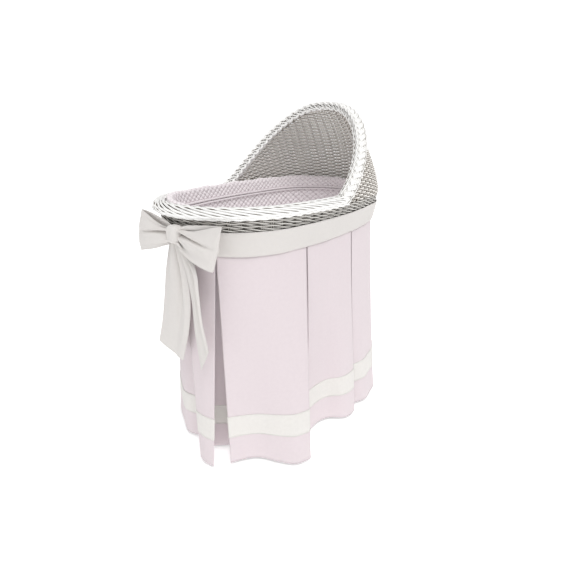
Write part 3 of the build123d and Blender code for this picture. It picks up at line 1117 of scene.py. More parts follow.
    def plait(
        self,
        name: str,
        path: Sequence[Vector],
        outwards: Sequence[Vector],
        width: float,
        height: float,
        period: float,
        strands: int,
        rods_each: int,
        layers: Sequence[float],
    ) -> bpy.types.Object:
        """Plait of rods along a path.

        Args:
            name: The piece's name.
            path: Points of the plait's centre line, evenly spaced.
            outwards: Unit vector at each point across the plait's flat.
            width: Half of the plait's width.
            height: Half of its thickness.
            period: Length of one full cross-over.
            strands: Number of strands, an odd number.
            rods_each: Rods laid side by side in a strand.
            layers: Offset of each layer of plaiting out of the path.

        Returns:
            The piece.
        """
        rods = Rods(name, self.plait_rod, resolution=2)
        length = 0.0
        walked = [0.0]
        for before, after in zip(path, path[1:]):
            length += (after - before).length
            walked.append(length)
        cycles = max(round(length / period), 1)
        for strand in range(strands * len(layers)):
            layer = layers[strand // strands]
            for rod in range(rods_each):
                side = (rod - (rods_each - 1) / 2) * self.braid_gap
                points = []
                for index, (centre, out) in enumerate(zip(path, outwards)):
                    run = step_at(path, index).normalized()
                    flat = run.cross(out).normalized()
                    share = strand / strands + 0.17 * (strand // strands)
                    phase = math.tau * (cycles * walked[index] / length + share)
                    across = width * math.tanh(1.3 * math.sin(phase)) / 0.862
                    lift = height * math.sin((strands - 1) * phase) + layer
                    steep = 1.3 * math.cos(phase) / math.cosh(1.3 * math.sin(phase)) ** 2
                    heading = Vector((steep * width * math.tau / period, 1.0)).normalized()
                    points.append(
                        centre
                        + flat * (across + side * heading.y)
                        - run * side * heading.x
                        + out * lift
                    )
                rods.lay(points)
        for twist in range(2 * self.cord_rods):
            side = 1.0 if twist < self.cord_rods else -1.0
            points = []
            for index, (centre, out) in enumerate(zip(path, outwards)):
                flat = step_at(path, index).normalized().cross(out).normalized()
                angle = math.tau * (walked[index] / self.cord_lay + twist / self.cord_rods)
                across = side * (width + 0.0022 * math.cos(angle))
                points.append(centre + flat * across + out * 0.0062 * math.sin(angle))
            rods.lay(points)
        return rods.build(self.finishes.border, Slot.WICKER, away_from(path))

    def wrap(
        self,
        name: str,
        path: Sequence[Vector],
        outwards: Sequence[Vector],
        width: float,
        height: float,
        lay: float,
    ) -> bpy.types.Object:
        """Rolled border: rods laid round an oval core at a long slant.

        Args:
            name: The piece's name.
            path: Points of the border's centre line, evenly spaced.
            outwards: Unit vector at each point across the border's flat.
            width: Half of the border's width.
            height: Half of its thickness.
            lay: Length in which a rod goes once round.

        Returns:
            The piece.
        """
        rods = Rods(name, self.border_rod, resolution=2)
        count = self.border_count
        walked = 0.0
        lines: list[list[Vector]] = [[] for _ in range(count)]
        for index, (centre, out) in enumerate(zip(path, outwards)):
            step = step_at(path, index)
            walked += step.length / 2
            flat = step.normalized().cross(out).normalized()
            for rod, line in enumerate(lines):
                angle = math.tau * (rod / count - walked / lay)
                bulge = 1 + 0.10 * math.sin(math.tau * (walked / 0.052 + rod * 0.4))
                line.append(
                    centre
                    + flat * width * bulge * math.cos(angle)
                    + out * height * bulge * math.sin(angle)
                )
        for line in lines:
            rods.lay(line)
        return rods.build(self.finishes.border, Slot.WICKER, away_from(path))

    def rim_plait(self) -> bpy.types.Object:
        """Rolled border round the rim's foot half, leaning over the edge of the wall.

        Returns:
            The piece.
        """
        centre = Oval(*self.rim_oval, FORM.share)
        first = FORM.edge_turn(FORM.rim_level) - 0.008
        count = self.rim_points
        path, outwards = [], []
        for index in range(count + 1):
            turn = mix(first, 1 - first, index / count)
            (x, y), (nx, ny) = centre.at(turn)
            foot = smooth(-x / self.rim_oval[0])
            path.append(Vector((FORM.middle + x - 0.011 * foot, y, FORM.rim_level + 0.005 * foot)))
            outwards.append(Vector((nx * 0.55, ny * 0.55, 0.83)))
        return self.wrap("rim_plait", path, outwards, *self.rim_half, self.rim_lay)

    def hood_plait(self) -> bpy.types.Object:
        """Plait along the hood's leaning edge.

        Returns:
            The piece.
        """
        fine = []
        for side, order in ((-1.0, range(0, 121)), (1.0, range(119, -1, -1))):
            for index in order:
                fine.append(FORM.edge_point((index / 120) ** 1.6, side))
        path = even_points(fine, 0.0058)
        outwards = []
        for point in path:
            rise = (point.z - FORM.rim_level) / FORM.edge_height
            lateral = Vector((0.25 + 0.35 * rise, point.y / FORM.edge_width, 0.25 + 0.9 * rise**1.5))
            outwards.append((lateral.normalized() * 0.75 + Vector((-0.35, 0.0, 0.36))).normalized())
        return self.plait(
            "hood_plait", path, outwards, *self.plait_half, self.plait_period, 5, 3, self.plait_layers
        )

    def build(self) -> list[bpy.types.Object]:
        """Make the woven pieces and hide the plain solids that they stand for.

        Returns:
            The pieces.
        """
        wall = self.wall_rows()
        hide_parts("wicker_wall")
        hood = self.hood_rows()
        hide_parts("hood_shell")
        rim = self.rim_plait()
        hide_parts("rim_braid")
        edge = self.hood_plait()
        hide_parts("hood_braid")
        return [wall, hood, rim, edge, self.waling_rows(), self.wall_stakes(), self.hood_stakes()]


def even_points(points: Sequence[Vector], spacing: float) -> list[Vector]:
    """Walk along points and return new ones an even distance apart.

    Args:
        points: Points of a line.
        spacing: Distance wanted.

    Returns:
        The new points.
    """
    walked = [0.0]
    for before, after in zip(points, points[1:]):
        walked.append(walked[-1] + (after - before).length)
    count = max(round(walked[-1] / spacing), 2)
    made, index = [], 0
    for step in range(count + 1):
        goal = walked[-1] * step / count
        while index < len(points) - 2 and walked[index + 1] < goal:
            index += 1
        gap = walked[index + 1] - walked[index]
        share = (goal - walked[index]) / gap if gap > 0 else 0.0
        made.append(points[index].lerp(points[index + 1], share))
    return made


# ------------------------------------------------------------------ bedding


@dataclass
class Bedding:
    """Quilted liner with its piping, the mattress and its sheet."""

    finishes: Finishes
    top: float = 0.8125
    top_oval: Plan = (0.400, 0.210)
    floor: float = 0.5545
    floor_oval: Plan = (0.3555, 0.180)
    piping_level: float = 0.772
    around: float = 2.02
    wall_low: float = 0.600
    wall_cell: Plan = (0.025, 0.0195)
    cuff_cell: Plan = (0.0215, 0.0165)
    cuff_parts: Point = (0.036, 0.020, 0.030)
    near_sink: float = 0.013
    cord: float = 0.0036
    cord_steps: Plan = (0.002, -0.0070)
    cord_inset: float = -0.0064
    mattress_half: Plan = (0.340, 0.165)
    mattress_levels: Plan = (0.5545, 0.6040)
    sheet_levels: Plan = (0.5605, 0.6050)

    def face(self, turn: float, level: float, out: float = 0.0) -> Vector:
        """Point on the liner's inner face, moved towards the wall.

        Args:
            turn: Share of a turn.
            level: Height above the floor.
            out: Distance towards the wall.

        Returns:
            The point.
        """
        share = (level - self.floor) / (self.top - self.floor)
        oval = Oval(
            mix(self.floor_oval[0], self.top_oval[0], share),
            mix(self.floor_oval[1], self.top_oval[1], share),
            FORM.share,
        )
        (x, y), (nx, ny) = oval.at(turn)
        return Vector((FORM.middle + x + nx * out, y + ny * out, level))

    @staticmethod
    def diamond(along: float, up: float, wide: float, tall: float) -> float:
        """Height of a quilted diamond, 0 on its seams and 1 in its middle.

        Args:
            along: Distance round the liner.
            up: Distance up it.
            wide: A diamond's width.
            tall: Its height.

        Returns:
            The height.
        """
        first = abs(math.sin(math.pi * (along / wide + up / tall)))
        second = abs(math.sin(math.pi * (along / wide - up / tall)))
        return (first * second) ** 0.55

    def wall_pad(self) -> bpy.types.Object:
        """Quilted pad down the inside of the wall, from the piping to the base.

        Returns:
            The piece.
        """
        low, tall = self.wall_low, self.wall_cell[1]
        wide = self.around / round(self.around / self.wall_cell[0])

        def place(turn: float, up: float) -> Vector:
            """Point of the quilted face."""
            puff = ridge(turn, up) * smooth(min(up, 1 - up) * 16)
            return self.face(turn, mix(low, self.piping_level, up), -0.0062 * puff)

        def ridge(turn: float, up: float) -> float:
            """Height of the quilting."""
            return self.diamond(turn * self.around, mix(low, self.piping_level, up), wide, tall)

        # The quilting's height is also the ridge attribute, the mask of the quilt's painted shade in its
        # seams.
        mesh = draped_grid("liner_wall", 768, 84, place, (self.around, 0.172), True, ridge)
        return place_object("liner_wall", mesh, self.finishes.quilt, Slot.PINK_QUILT)

    def foot_pad(self) -> bpy.types.Object:
        """Plain lower part of the liner, tucked down behind the mattress.

        Returns:
            The piece.
        """

        def place(turn: float, up: float) -> Vector:
            """Point of the plain face."""
            return self.face(turn, mix(self.floor + 0.001, self.wall_low + 0.001, up))

        mesh = draped_grid("liner_foot", 160, 4, place, (self.around, 0.047), closed=True)
        return place_object("liner_foot", mesh, self.finishes.quilt, Slot.PINK_QUILT)

    def cuff(self) -> bpy.types.Object:
        """Quilted cuff over the top edge: inner face, rolled top and the outer return.

        Returns:
            The piece.
        """
        tall = self.cuff_cell[1]
        wide = self.around / round(self.around / self.cuff_cell[0])
        inner, roll, outer = self.cuff_parts
        total = inner + roll + outer
        radius = roll / math.pi

        def place(turn: float, up: float) -> Vector:
            """Point of the cuff, from the seam up the inside, over the top and down outside.

            Args:
                turn: Share of a turn.
                up: Share of the cuff's length.

            Returns:
                The point.
            """
            walk = up * total
            swell = 0.0042 * ridge(turn, up) * smooth(min(up, 1 - up) * 12)
            sunk = self.near_sink * smooth(0.5 - 0.9 * math.sin(math.tau * turn)) * smooth(walk / inner)
            wave = 0.0012 * math.sin(math.tau * turn * 13) + 0.001 * math.sin(math.tau * turn * 29)
            if walk < inner:
                level = self.piping_level + walk - sunk
                return self.face(turn, level, -swell - 0.0015)
            if walk < inner + roll:
                angle = math.pi * (walk - inner) / roll
                spread = radius + swell
                level = self.piping_level + inner - sunk
                level += (spread + wave) * math.sin(angle)
                return self.face(turn, level, radius - math.cos(angle) * spread - 0.0015)
            level = self.piping_level + inner - sunk - (walk - inner - roll)
            return self.face(turn, level, 2 * radius + swell - 0.0015)

        def ridge(turn: float, up: float) -> float:
            """Height of the quilting."""
            return self.diamond(turn * self.around, up * total, wide, tall)

        # The quilting's height is also the ridge attribute, the mask of the cuff's painted shade in its
        # seams.
        mesh = draped_grid("liner_cuff", 960, 48, place, (self.around, total), True, ridge)
        return place_object("liner_cuff", mesh, self.finishes.quilt, Slot.PINK_QUILT)

    def piping(self) -> bpy.types.Object:
        """Covered cord round the seam between cuff and wall pad.

        Returns:
            The piece.
        """
        rods = Rods("liner_cord", self.cord, resolution=3)
        for step in self.cord_steps:
            level = self.piping_level + step
            points = [self.face(mark / 96, level, self.cord_inset) for mark in range(96)]
            rods.lay(points, closed=True)
        return rods.build(self.finishes.piping, Slot.PINK_COTTON)

    def mattress(self) -> bpy.types.Object:
        """Foam mattress: a rounded oval pad, from its bottom middle up and over to its top.

        Returns:
            The piece.
        """
        length, width = self.mattress_half
        low, high = self.mattress_levels
        radius = (high - low) / 2

        def place(turn: float, up: float) -> Vector:
            """Point of the pad's skin, a share of the way from the bottom middle to the top.

            Args:
                turn: Share of a turn.
                up: Share of the way.

            Returns:
                The point.
            """
            if up < 0.3:
                share, level, grow = up / 0.3, low, 0.0
            elif up < 0.5:
                angle = math.pi * (up - 0.3) / 0.2 - math.pi / 2
                share, level = 1.0, low + radius + radius * math.sin(angle)
                grow = 0.008 * math.cos(angle)
            else:
                share, level, grow = (1 - up) / 0.5, high, 0.0
            inner = max(share, 0.002)
            x, y = Oval(length * inner + grow, width * inner + grow, FORM.share).at(turn)[0]
            return Vector((FORM.middle + x, y, level))

        size = (2 * length * 1.6, 2 * width * 2)
        mesh = draped_grid("mattress_pad", 128, 60, place, size, closed=True)
        return place_object("mattress_pad", mesh, self.finishes.sheet, Slot.MATTRESS)

    def sheet(self) -> bpy.types.Object:
        """Fitted sheet over the mattress, with shallow creases and its tucked edge.

        Returns:
            The piece.
        """
        low, high = self.sheet_levels
        length, width = self.mattress_half

        def place(turn: float, up: float) -> Vector:
            """Point of the sheet, from its tucked edge up and over to the middle.

            Args:
                turn: Share of a turn.
                up: Share of the way.

            Returns:
                The point.
            """
            if up < 0.16:
                share, level = 1.0, mix(low, high - 0.012, up / 0.16)
                grow = 0.0098
            elif up < 0.24:
                angle = math.pi / 2 * (up - 0.16) / 0.08
                share, level = 1.0, high - 0.012 + 0.012 * math.sin(angle)
                grow = 0.0098 - 0.012 * (1 - math.cos(angle))
            else:
                share, grow = (1 - up) / 0.76, -0.0022
                level = high + 0.004 * (1 - share**2)
            tuck = math.sin(math.tau * turn * 37) * 0.0011 * smooth((0.24 - up) * 8)
            inner = max(share, 0.002)
            wider = grow * inner + tuck
            x, y = Oval(length * inner + wider, width * inner + wider, FORM.share).at(turn)[0]
            crease = 0.0011 * math.sin(x * 31 + y * 17) * math.sin(x * 9 - y * 23) * (1 - share**4)
            return Vector((FORM.middle + x, y, level + crease))

        mesh = draped_grid("fitted_cotton", 200, 50, place, (1.6, 0.45), closed=True)
        piece = place_object("fitted_cotton", mesh, self.finishes.sheet, Slot.WHITE_COTTON)
        thicken(piece, 0.0008)
        return piece

    def build(self) -> list[bpy.types.Object]:
        """Make the bedding and hide its plain solids.

        Returns:
            The pieces.
        """
        wall = self.wall_pad()
        cuff = self.cuff()
        foot = self.foot_pad()
        for piece in (wall, cuff, foot):
            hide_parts("liner")
        cord = self.piping()
        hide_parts("liner_piping")
        mattress = self.mattress()
        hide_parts("mattress")
        sheet = self.sheet()
        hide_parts("fitted_sheet")
        return [wall, cuff, foot, cord, mattress, sheet]


# ------------------------------------------------------------------ skirt


@dataclass(frozen=True)
class FoldMark:
    """One mark of the skirt's plan, at the waist and at the hem.

    Attributes:
        turn: Where it is sewn on the waist's oval.
        inset: How far behind the waist's front layer it is sewn.
        hem: Plan point at the hem, from the basket's middle.
        samples: Faces from this mark to the next.
        corner: True if the cloth is creased here.
        pair: Hem point of the other edge of the same pleat, which it touches at the top.
    """

    turn: float
    inset: float
    hem: Plan
    samples: int
    corner: bool = False
    pair: Plan | None = None


@dataclass
class Skirt:
    """Pleated skirt, its hem stripe and the waistband that it hangs from."""

    finishes: Finishes
    waist_level: float = 0.6905
    hem_level: float = 0.012
    waist: Plan = (0.4125, 0.2290)
    stripe_low: float = 0.108
    stripe_high: float = 0.184
    band_levels: Plan = (0.685, 0.753)
    pleat_start: float = 0.02
    marks: list[FoldMark] = field(default_factory=list)
    columns: list[tuple[int, float]] = field(default_factory=list)

    def waist_oval(self) -> Oval:
        """Oval that the skirt's top edge follows."""
        return Oval(*self.waist, FORM.share)

    def waist_turn(self, x: float, y: float) -> float:
        """Turn of the waist oval's point nearest to a plan point.

        Args:
            x: Plan position along the oval.
            y: Plan position across it.

        Returns:
            The turn.
        """
        oval, steps = self.waist_oval(), 720

        def far(step: int) -> float:
            """Distance from one of the oval's points."""
            return math.dist(oval.at(step / steps)[0], (x, y))

        return min(range(steps), key=far) / steps

    def pleat(
        self, top: Plan, left: Plan, back_left: Plan, back_right: Plan, right: Plan
    ) -> list[FoldMark]:
        """Inverted box pleat: two panel edges that meet at the waist, over an underlay.

        Args:
            top: Where it is sewn at the waist.
            left: Hem point of the first panel's edge.
            back_left: First hem point of the underlay.
            back_right: Second hem point of the underlay.
            right: Hem point of the second panel's edge.

        Returns:
            Its four marks.
        """
        turn = self.waist_turn(*top)
        return [
            FoldMark(turn - 0.0002, 0.0, left, 9, True, right),
            FoldMark(turn - 0.014, 0.0022, back_left, 8, True),
            FoldMark(turn + 0.014, 0.0022, back_right, 7, True),
            FoldMark(turn + 0.0002, 0.0, right, 7, True, left),
        ]

    def panel(self, *points: Plan) -> list[FoldMark]:
        """Soft marks across a panel, placed at the waist by their own direction."""
        return [FoldMark(-1.0, 0.0, point, 7) for point in points]

    def lay_marks(self) -> None:
        """Set out the whole plan, from the head end round by the far side."""
        plan: list[list[FoldMark]] = [
            self.panel((0.430, 0.000), (0.424, 0.055)),
            self.pleat((0.400, 0.098), (0.428, 0.098), (0.372, 0.060), (0.345, 0.112), (0.392, 0.142)),
            self.panel((0.372, 0.176), (0.342, 0.214), (0.300, 0.252)),
            self.pleat((0.205, 0.221), (0.238, 0.293), (0.246, 0.226), (0.120, 0.214), (0.150, 0.268)),
            self.panel((0.110, 0.286), (0.060, 0.280), (0.012, 0.290)),
            self.pleat(
                (-0.060, 0.229), (-0.040, 0.294), (0.000, 0.238), (-0.140, 0.222), (-0.118, 0.270)
            ),
            self.panel((-0.170, 0.288), (-0.225, 0.272), (-0.272, 0.276), (-0.308, 0.242)),
            self.panel((-0.345, 0.180), (-0.376, 0.122)),
            self.pleat(
                (-0.410, 0.034), (-0.364, 0.074), (-0.318, 0.088), (-0.350, 0.006), (-0.432, 0.002)
            ),
            self.panel((-0.440, -0.030),),
            self.pleat(
                (-0.407, -0.090), (-0.436, -0.066), (-0.384, 0.012), (-0.322, -0.056), (-0.396, -0.096)
            ),
            self.panel((-0.348, -0.126), (-0.318, -0.160), (-0.300, -0.212), (-0.274, -0.264)),
            self.pleat(
                (-0.172, -0.226), (-0.226, -0.288), (-0.214, -0.224), (-0.150, -0.205), (-0.114, -0.212)
            ),
            self.panel((-0.066, -0.212), (-0.022, -0.230), (0.008, -0.270), (0.040, -0.286)),
            self.pleat(
                (0.075, -0.230), (0.078, -0.284), (0.060, -0.236), (0.150, -0.232), (0.108, -0.262)
            ),
            self.panel((0.160, -0.286), (0.212, -0.280), (0.262, -0.272)),
            self.pleat(
                (0.300, -0.196), (0.318, -0.242), (0.284, -0.216), (0.348, -0.172), (0.362, -0.196)
            ),
            self.panel((0.392, -0.150), (0.412, -0.108), (0.420, -0.052)),
        ]
        self.marks = [mark for group in plan for mark in group]
        self.spread_panels()
        self.columns = [
            (index, step / mark.samples)
            for index, mark in enumerate(self.marks)
            for step in range(mark.samples)
        ]

    def spread_panels(self) -> None:
        """Space each panel's soft marks evenly along the waist between its pleats."""
        count = len(self.marks)
        fixed = [index for index, mark in enumerate(self.marks) if mark.turn >= 0]
        done = list(self.marks)
        for before, after in zip(fixed, fixed[1:] + [fixed[0] + count]):
            gap = after - before
            if gap <= 1:
                continue
            start = self.marks[before].turn
            finish = self.marks[after % count].turn
            if finish < start:
                finish += 1.0
            for step in range(1, gap):
                old = self.marks[(before + step) % count]
                turn = (start + (finish - start) * step / gap) % 1.0
                done[(before + step) % count] = FoldMark(turn, 0.0, old.hem, old.samples)
        self.marks = done

    def mark_at(self, index: int, down: float) -> Plan:
        """Plan point of a mark at a share of the way down.

        Args:
            index: Number of the mark.
            down: Share of the way from waist to hem.

        Returns:
            The plan point.
        """
        mark = self.marks[index % len(self.marks)]
        (x, y), (nx, ny) = self.waist_oval().at(mark.turn)
        x, y = x - nx * mark.inset, y - ny * mark.inset
        share = down ** (1.12 if mark.corner else 1.25)
        if mark.inset:
            share = max(down - self.pleat_start, 0.0) / (1 - self.pleat_start)
        if not mark.pair:
            return (mix(x, mark.hem[0], share), mix(y, mark.hem[1], share))
        middle = ((mark.hem[0] + mark.pair[0]) / 2, (mark.hem[1] + mark.pair[1]) / 2)
        apart = max(down - 0.07, 0.0) / 0.93
        return (
            mix(x, middle[0], share) + (mark.hem[0] - middle[0]) * apart,
            mix(y, middle[1], share) + (mark.hem[1] - middle[1]) * apart,
        )

    def plan_row(self, down: float) -> list[Plan]:
        """All plan points of one level, in order round the skirt.

        Args:
            down: Share of the way from waist to hem.

        Returns:
            The plan points.
        """
        spots = [self.mark_at(index, down) for index in range(len(self.marks))]
        count = len(spots)
        row = []
        for index, share in self.columns:
            one, two = spots[index], spots[(index + 1) % count]
            before = one if self.marks[index].corner else spots[index - 1]
            last = self.marks[(index + 1) % count].corner
            after = two if last else spots[(index + 2) % count]
            row.append(curve_between(before, one, two, after, share))
        return self.round_corners(row)

    def round_corners(self, row: list[Plan]) -> list[Plan]:
        """Soften the creases of one level a little.

        Args:
            row: Plan points of the level.

        Returns:
            The softened points.
        """
        after = row[1:] + row[:1]
        return [
            (a[0] * 0.2 + b[0] * 0.6 + c[0] * 0.2, a[1] * 0.2 + b[1] * 0.6 + c[1] * 0.2)
            for a, b, c in zip(row[-1:] + row[:-1], row, after)
        ]

    def cloth(
        self, name: str, low: float, high: float, rows: int, out: float
    ) -> tuple[bpy.types.Mesh, float]:
        """Part of the skirt's cloth between two levels.

        Args:
            name: The mesh's name.
            low: Lower level.
            high: Upper level.
            rows: Faces up the cloth.
            out: Distance in front of the skirt's own surface.

        Returns:
            The mesh and the developed length of its lowest row.
        """
        plans = []
        for step in range(rows + 1):
            level = mix(low, high, step / rows)
            down = (self.waist_level - level) / (self.waist_level - self.hem_level)
            plans.append(self.plan_row(min(max(down, 0.0), 1.0)))
        count = len(self.columns)
        lowest = plans[0]
        length = sum(math.dist(lowest[i - 1], lowest[i]) for i in range(count))

        def place(along: float, up: float) -> Vector:
            """Point of the cloth.

            Args:
                along: Share of the way round.
                up: Share of the height.

            Returns:
                The point.
            """
            step = round(up * rows)
            column = round(along * count) % count
            row = plans[step]
            x, y = row[column]
            bx, by = row[column - 1]
            ax, ay = row[(column + 1) % count]
            run = math.hypot(ax - bx, ay - by) or 1.0
            nx, ny = (ay - by) / run, -(ax - bx) / run
            level = mix(low, high, step / rows)
            return Vector((FORM.middle + x + nx * out, y + ny * out, level))

        def ridge(along: float, up: float) -> float:
            """Shade behind the edge of a pleat: low close behind it, 1 elsewhere.

            Args:
                along: Share of the way round.
                up: Share of the height.

            Returns:
                The shade.
            """
            index, share = self.columns[round(along * count) % count]
            mark, last = self.marks[index], self.marks[index - 1]
            if mark.corner and not mark.inset and not last.inset and 0 < share < 0.45:
                return mix(0.16, 1.0, share / 0.45)
            return 1.0

        size = (length, high - low)
        return draped_grid(name, count, rows, place, size, True, ridge), length

    def skirt(self) -> bpy.types.Object:
        """The pink cloth itself.

        Returns:
            The piece.
        """
        mesh, length = self.cloth("skirt_cloth", self.hem_level, self.waist_level, 56, 0.0)
        piece = place_object("skirt_cloth", mesh, self.finishes.pink, Slot.PINK_COTTON)
        thicken(piece, 0.0010)
        return piece

    def stripe(self) -> bpy.types.Object:
        """The cream stripe sewn on near the hem.

        Returns:
            The piece.
        """
        mesh, length = self.cloth("hem_stripe_cloth", self.stripe_low, self.stripe_high, 10, 0.0011)
        piece = place_object("hem_stripe_cloth", mesh, self.finishes.stripe, Slot.WHITE_COTTON)
        thicken(piece, 0.0008)
        return piece

    def waistband(self) -> bpy.types.Object:
        """Band of doubled cotton round the wall, sewn to the skirt's top edge.

        Returns:
            The piece.
        """
        low, high = self.band_levels

        def place(turn: float, up: float) -> Vector:
            """Point of the band.

            Args:
                turn: Share of a turn.
                up: Share of its height.

            Returns:
                The point.
            """
            level = mix(low, high, up)
            belly = 0.0016 * math.sin(math.pi * up)
            wave = 0.0008 * math.sin(math.tau * turn * 9 + up * 2) + 0.0005 * math.sin(
                math.tau * turn * 23 + up * 4
            )
            edge = 0.0010 * smooth(min(up, 1 - up) * 14)
            return FORM.wall_point(turn, level, 0.0052 + belly + wave + edge)

        mesh = draped_grid("waistband_cloth", 240, 20, place, (2.12, 0.068), closed=True)
        piece = place_object("waistband_cloth", mesh, self.finishes.white, Slot.WHITE_COTTON)
        thicken(piece, 0.0022)
        return piece

    def build(self) -> list[bpy.types.Object]:
        """Make the skirt's pieces and hide their plain solids.

        Returns:
            The pieces.
        """
        self.lay_marks()
        band = self.waistband()
        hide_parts("waistband")
        skirt = self.skirt()
        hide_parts("skirt")
        stripe = self.stripe()
        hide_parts("hem_stripe")
        return [band, skirt, stripe]


def curve_between(before: Plan, one: Plan, two: Plan, after: Plan, share: float) -> Plan:
    """Point on the smooth curve from one mark to the next.

    Args:
        before: Mark before the first.
        one: First mark.
        two: Second mark.
        after: Mark after the second.
        share: Share of the way between the two.

    Returns:
        The point.
    """
    result = []
    for a, b, c, d in zip(before, one, two, after):
        result.append(
            0.5
            * (
                2 * b
                + (c - a) * share
                + (2 * a - 5 * b + 4 * c - d) * share**2
                + (3 * b - a - 3 * c + d) * share**3
            )
        )
    return (result[0], result[1])


# ------------------------------------------------------------------ bow


@dataclass
class Bow:
    """Cotton bow at the foot end: two loops, a knot and two tails."""

    finishes: Finishes
    front: float = -0.474
    level: float = 0.745
    half_knot: float = 0.018

    def loop(
        self, name: str, side: float, reach: Callable[[float], float], drop: float
    ) -> bpy.types.Object:
        """One loop: a strip that leaves the knot, folds round and comes back behind.

        Args:
            name: The piece's name.
            side: 1 for +Y, -1 for -Y.
            reach: Length of the loop for a share from -1, its lower edge, to 1.
            drop: How far the loop's end hangs below the knot.

        Returns:
            The piece.
        """
        back = self.front + 0.021

        def place(along: float, across: float) -> Vector:
            """Point of the loop.

            Args:
                along: Share of the way out, round and back.
                across: Share of the way from the lower to the upper edge.

            Returns:
                The point.
            """
            edge = 2 * across - 1
            angle = math.tau * along
            out = (1 - math.cos(angle)) / 2
            behind = 0.5 - 0.5 * math.sin(angle)
            gather = math.exp(-out * 2.6)
            top = mix(mix(0.007, 0.020, behind), 0.058, out ** mix(0.95, 0.62, behind))
            low = mix(0.018, 0.058, out**0.80)
            pinch = mix(1.0, 0.30, smooth(edge * 1.2))
            depth = 0.019 * math.sin(angle) * (0.35 + 0.65 * out**0.5) * pinch
            crease = 0.0068 * math.cos(edge * 7.5 + 0.9 * side) * gather
            crease += 0.0180 * math.exp(-((edge - 0.10) ** 2) / 0.020) * (1 - out) ** 0.6
            lip = 0.0075 * math.exp(-(edge + 1) / 0.16) * (1 - out) ** 0.7
            belly = 0.004 * math.cos(edge * math.pi / 2) * math.sin(math.pi * min(out * 1.1, 1))
            front = smooth(1 - behind)
            x = back - depth - front * (belly + lip) + crease * (0.3 + 0.7 * front)
            y = side * (self.half_knot * 0.6 + reach(edge) * out) - 0.006 * (1 - out)
            z = self.level - drop * out + edge * (top if edge > 0 else low)
            z += 0.003 * math.sin(out * 5 + edge * 3)
            return Vector((x + FORM.middle, y, z))

        mesh = draped_grid(name, 96, 40, place, (0.34, 0.115))
        piece = place_object(name, mesh, self.finishes.white, Slot.WHITE_COTTON)
        thicken(piece, 0.0016, 0.0)
        node = "bow_loop_far" if side > 0 else "bow_loop_near"
        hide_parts(node)
        return piece

    def knot(self) -> bpy.types.Object:
        """Knot: a rounded, lightly creased wrap.

        Returns:
            The piece.
        """
        bm = bmesh.new()
        bmesh.ops.create_uvsphere(bm, u_segments=48, v_segments=32, radius=1.0)
        for vert in bm.verts:
            x, y, z = (math.copysign(abs(c) ** 0.62, c) for c in vert.co)
            crease = 1 - 0.05 * math.cos(y * 9) * (1 - abs(z) ** 3)
            waist = 1 - 0.10 * math.cos(z * math.pi / 2) + 0.05
            vert.co = (
                FORM.middle + self.front + 0.0185 + 0.0195 * x * crease,
                0.0215 * y * waist - 0.006,
                self.level + 0.0232 * z,
            )
        layer = bm.loops.layers.uv.new("cloth")
        for face in bm.faces:
            for loop in face.loops:
                loop[layer].uv = (loop.vert.co.y, loop.vert.co.z)
        mesh = bpy.data.meshes.new("bow_tie")
        bm.to_mesh(mesh)
        bm.free()
        piece = place_object("bow_tie", mesh, self.finishes.white, Slot.WHITE_COTTON)
        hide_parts("bow_knot")
        return piece

    def tail(
        self,
        name: str,
        node: str,
        left: Sequence[Plan],
        right: Sequence[Plan],
        depth: float,
        fold: float,
    ) -> bpy.types.Object:
        """One tail: a strip hanging from the knot between two edge lines.

        Args:
            name: The piece's name.
            node: The plain solid that it stands for.
            left: Edge points (y, z) from the knot down, +Y side.
            right: Edge points from the knot down, -Y side.
            depth: Distance behind the bow's front.
            fold: Depth of its long folds at the knot.

        Returns:
            The piece.
        """

        def edge(points: Sequence[Plan], down: float) -> Plan:
            """Point of one edge line.

            Args:
                points: The edge line.
                down: Share of the way down.

            Returns:
                The point (y, z).
            """
            walk = down * (len(points) - 1)
            index = min(int(walk), len(points) - 2)
            before = points[max(index - 1, 0)]
            after = points[min(index + 2, len(points) - 1)]
            return curve_between(before, points[index], points[index + 1], after, walk - index)

        def place(across: float, down: float) -> Vector:
            """Point of the tail.

            Args:
                across: Share of the way from left to right.
                down: Share of the way down.

            Returns:
                The point.
            """
            ly, lz = edge(left, down)
            ry, rz = edge(right, down)
            gather = (1 - down) ** 1.3
            wave = fold * math.cos(across * 9.0 + 0.5 * down) * (0.15 + 0.85 * gather)
            strip = math.exp(-(((across - 0.84) / 0.11) ** 2)) * smooth(1.25 - down)
            sunk = math.exp(-(((across - 0.62) / 0.06) ** 2)) * smooth(1.0 - down)
            x = self.front + depth + wave + 0.010 * down - 0.0110 * strip + 0.0100 * sunk
            return Vector((FORM.middle + x, mix(ly, ry, across), mix(lz, rz, across)))

        mesh = draped_grid(name, 36, 90, place, (0.09, 0.33))
        piece = place_object(name, mesh, self.finishes.white, Slot.WHITE_COTTON)
        thicken(piece, 0.0014, 0.0)
        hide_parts(node)
        return piece

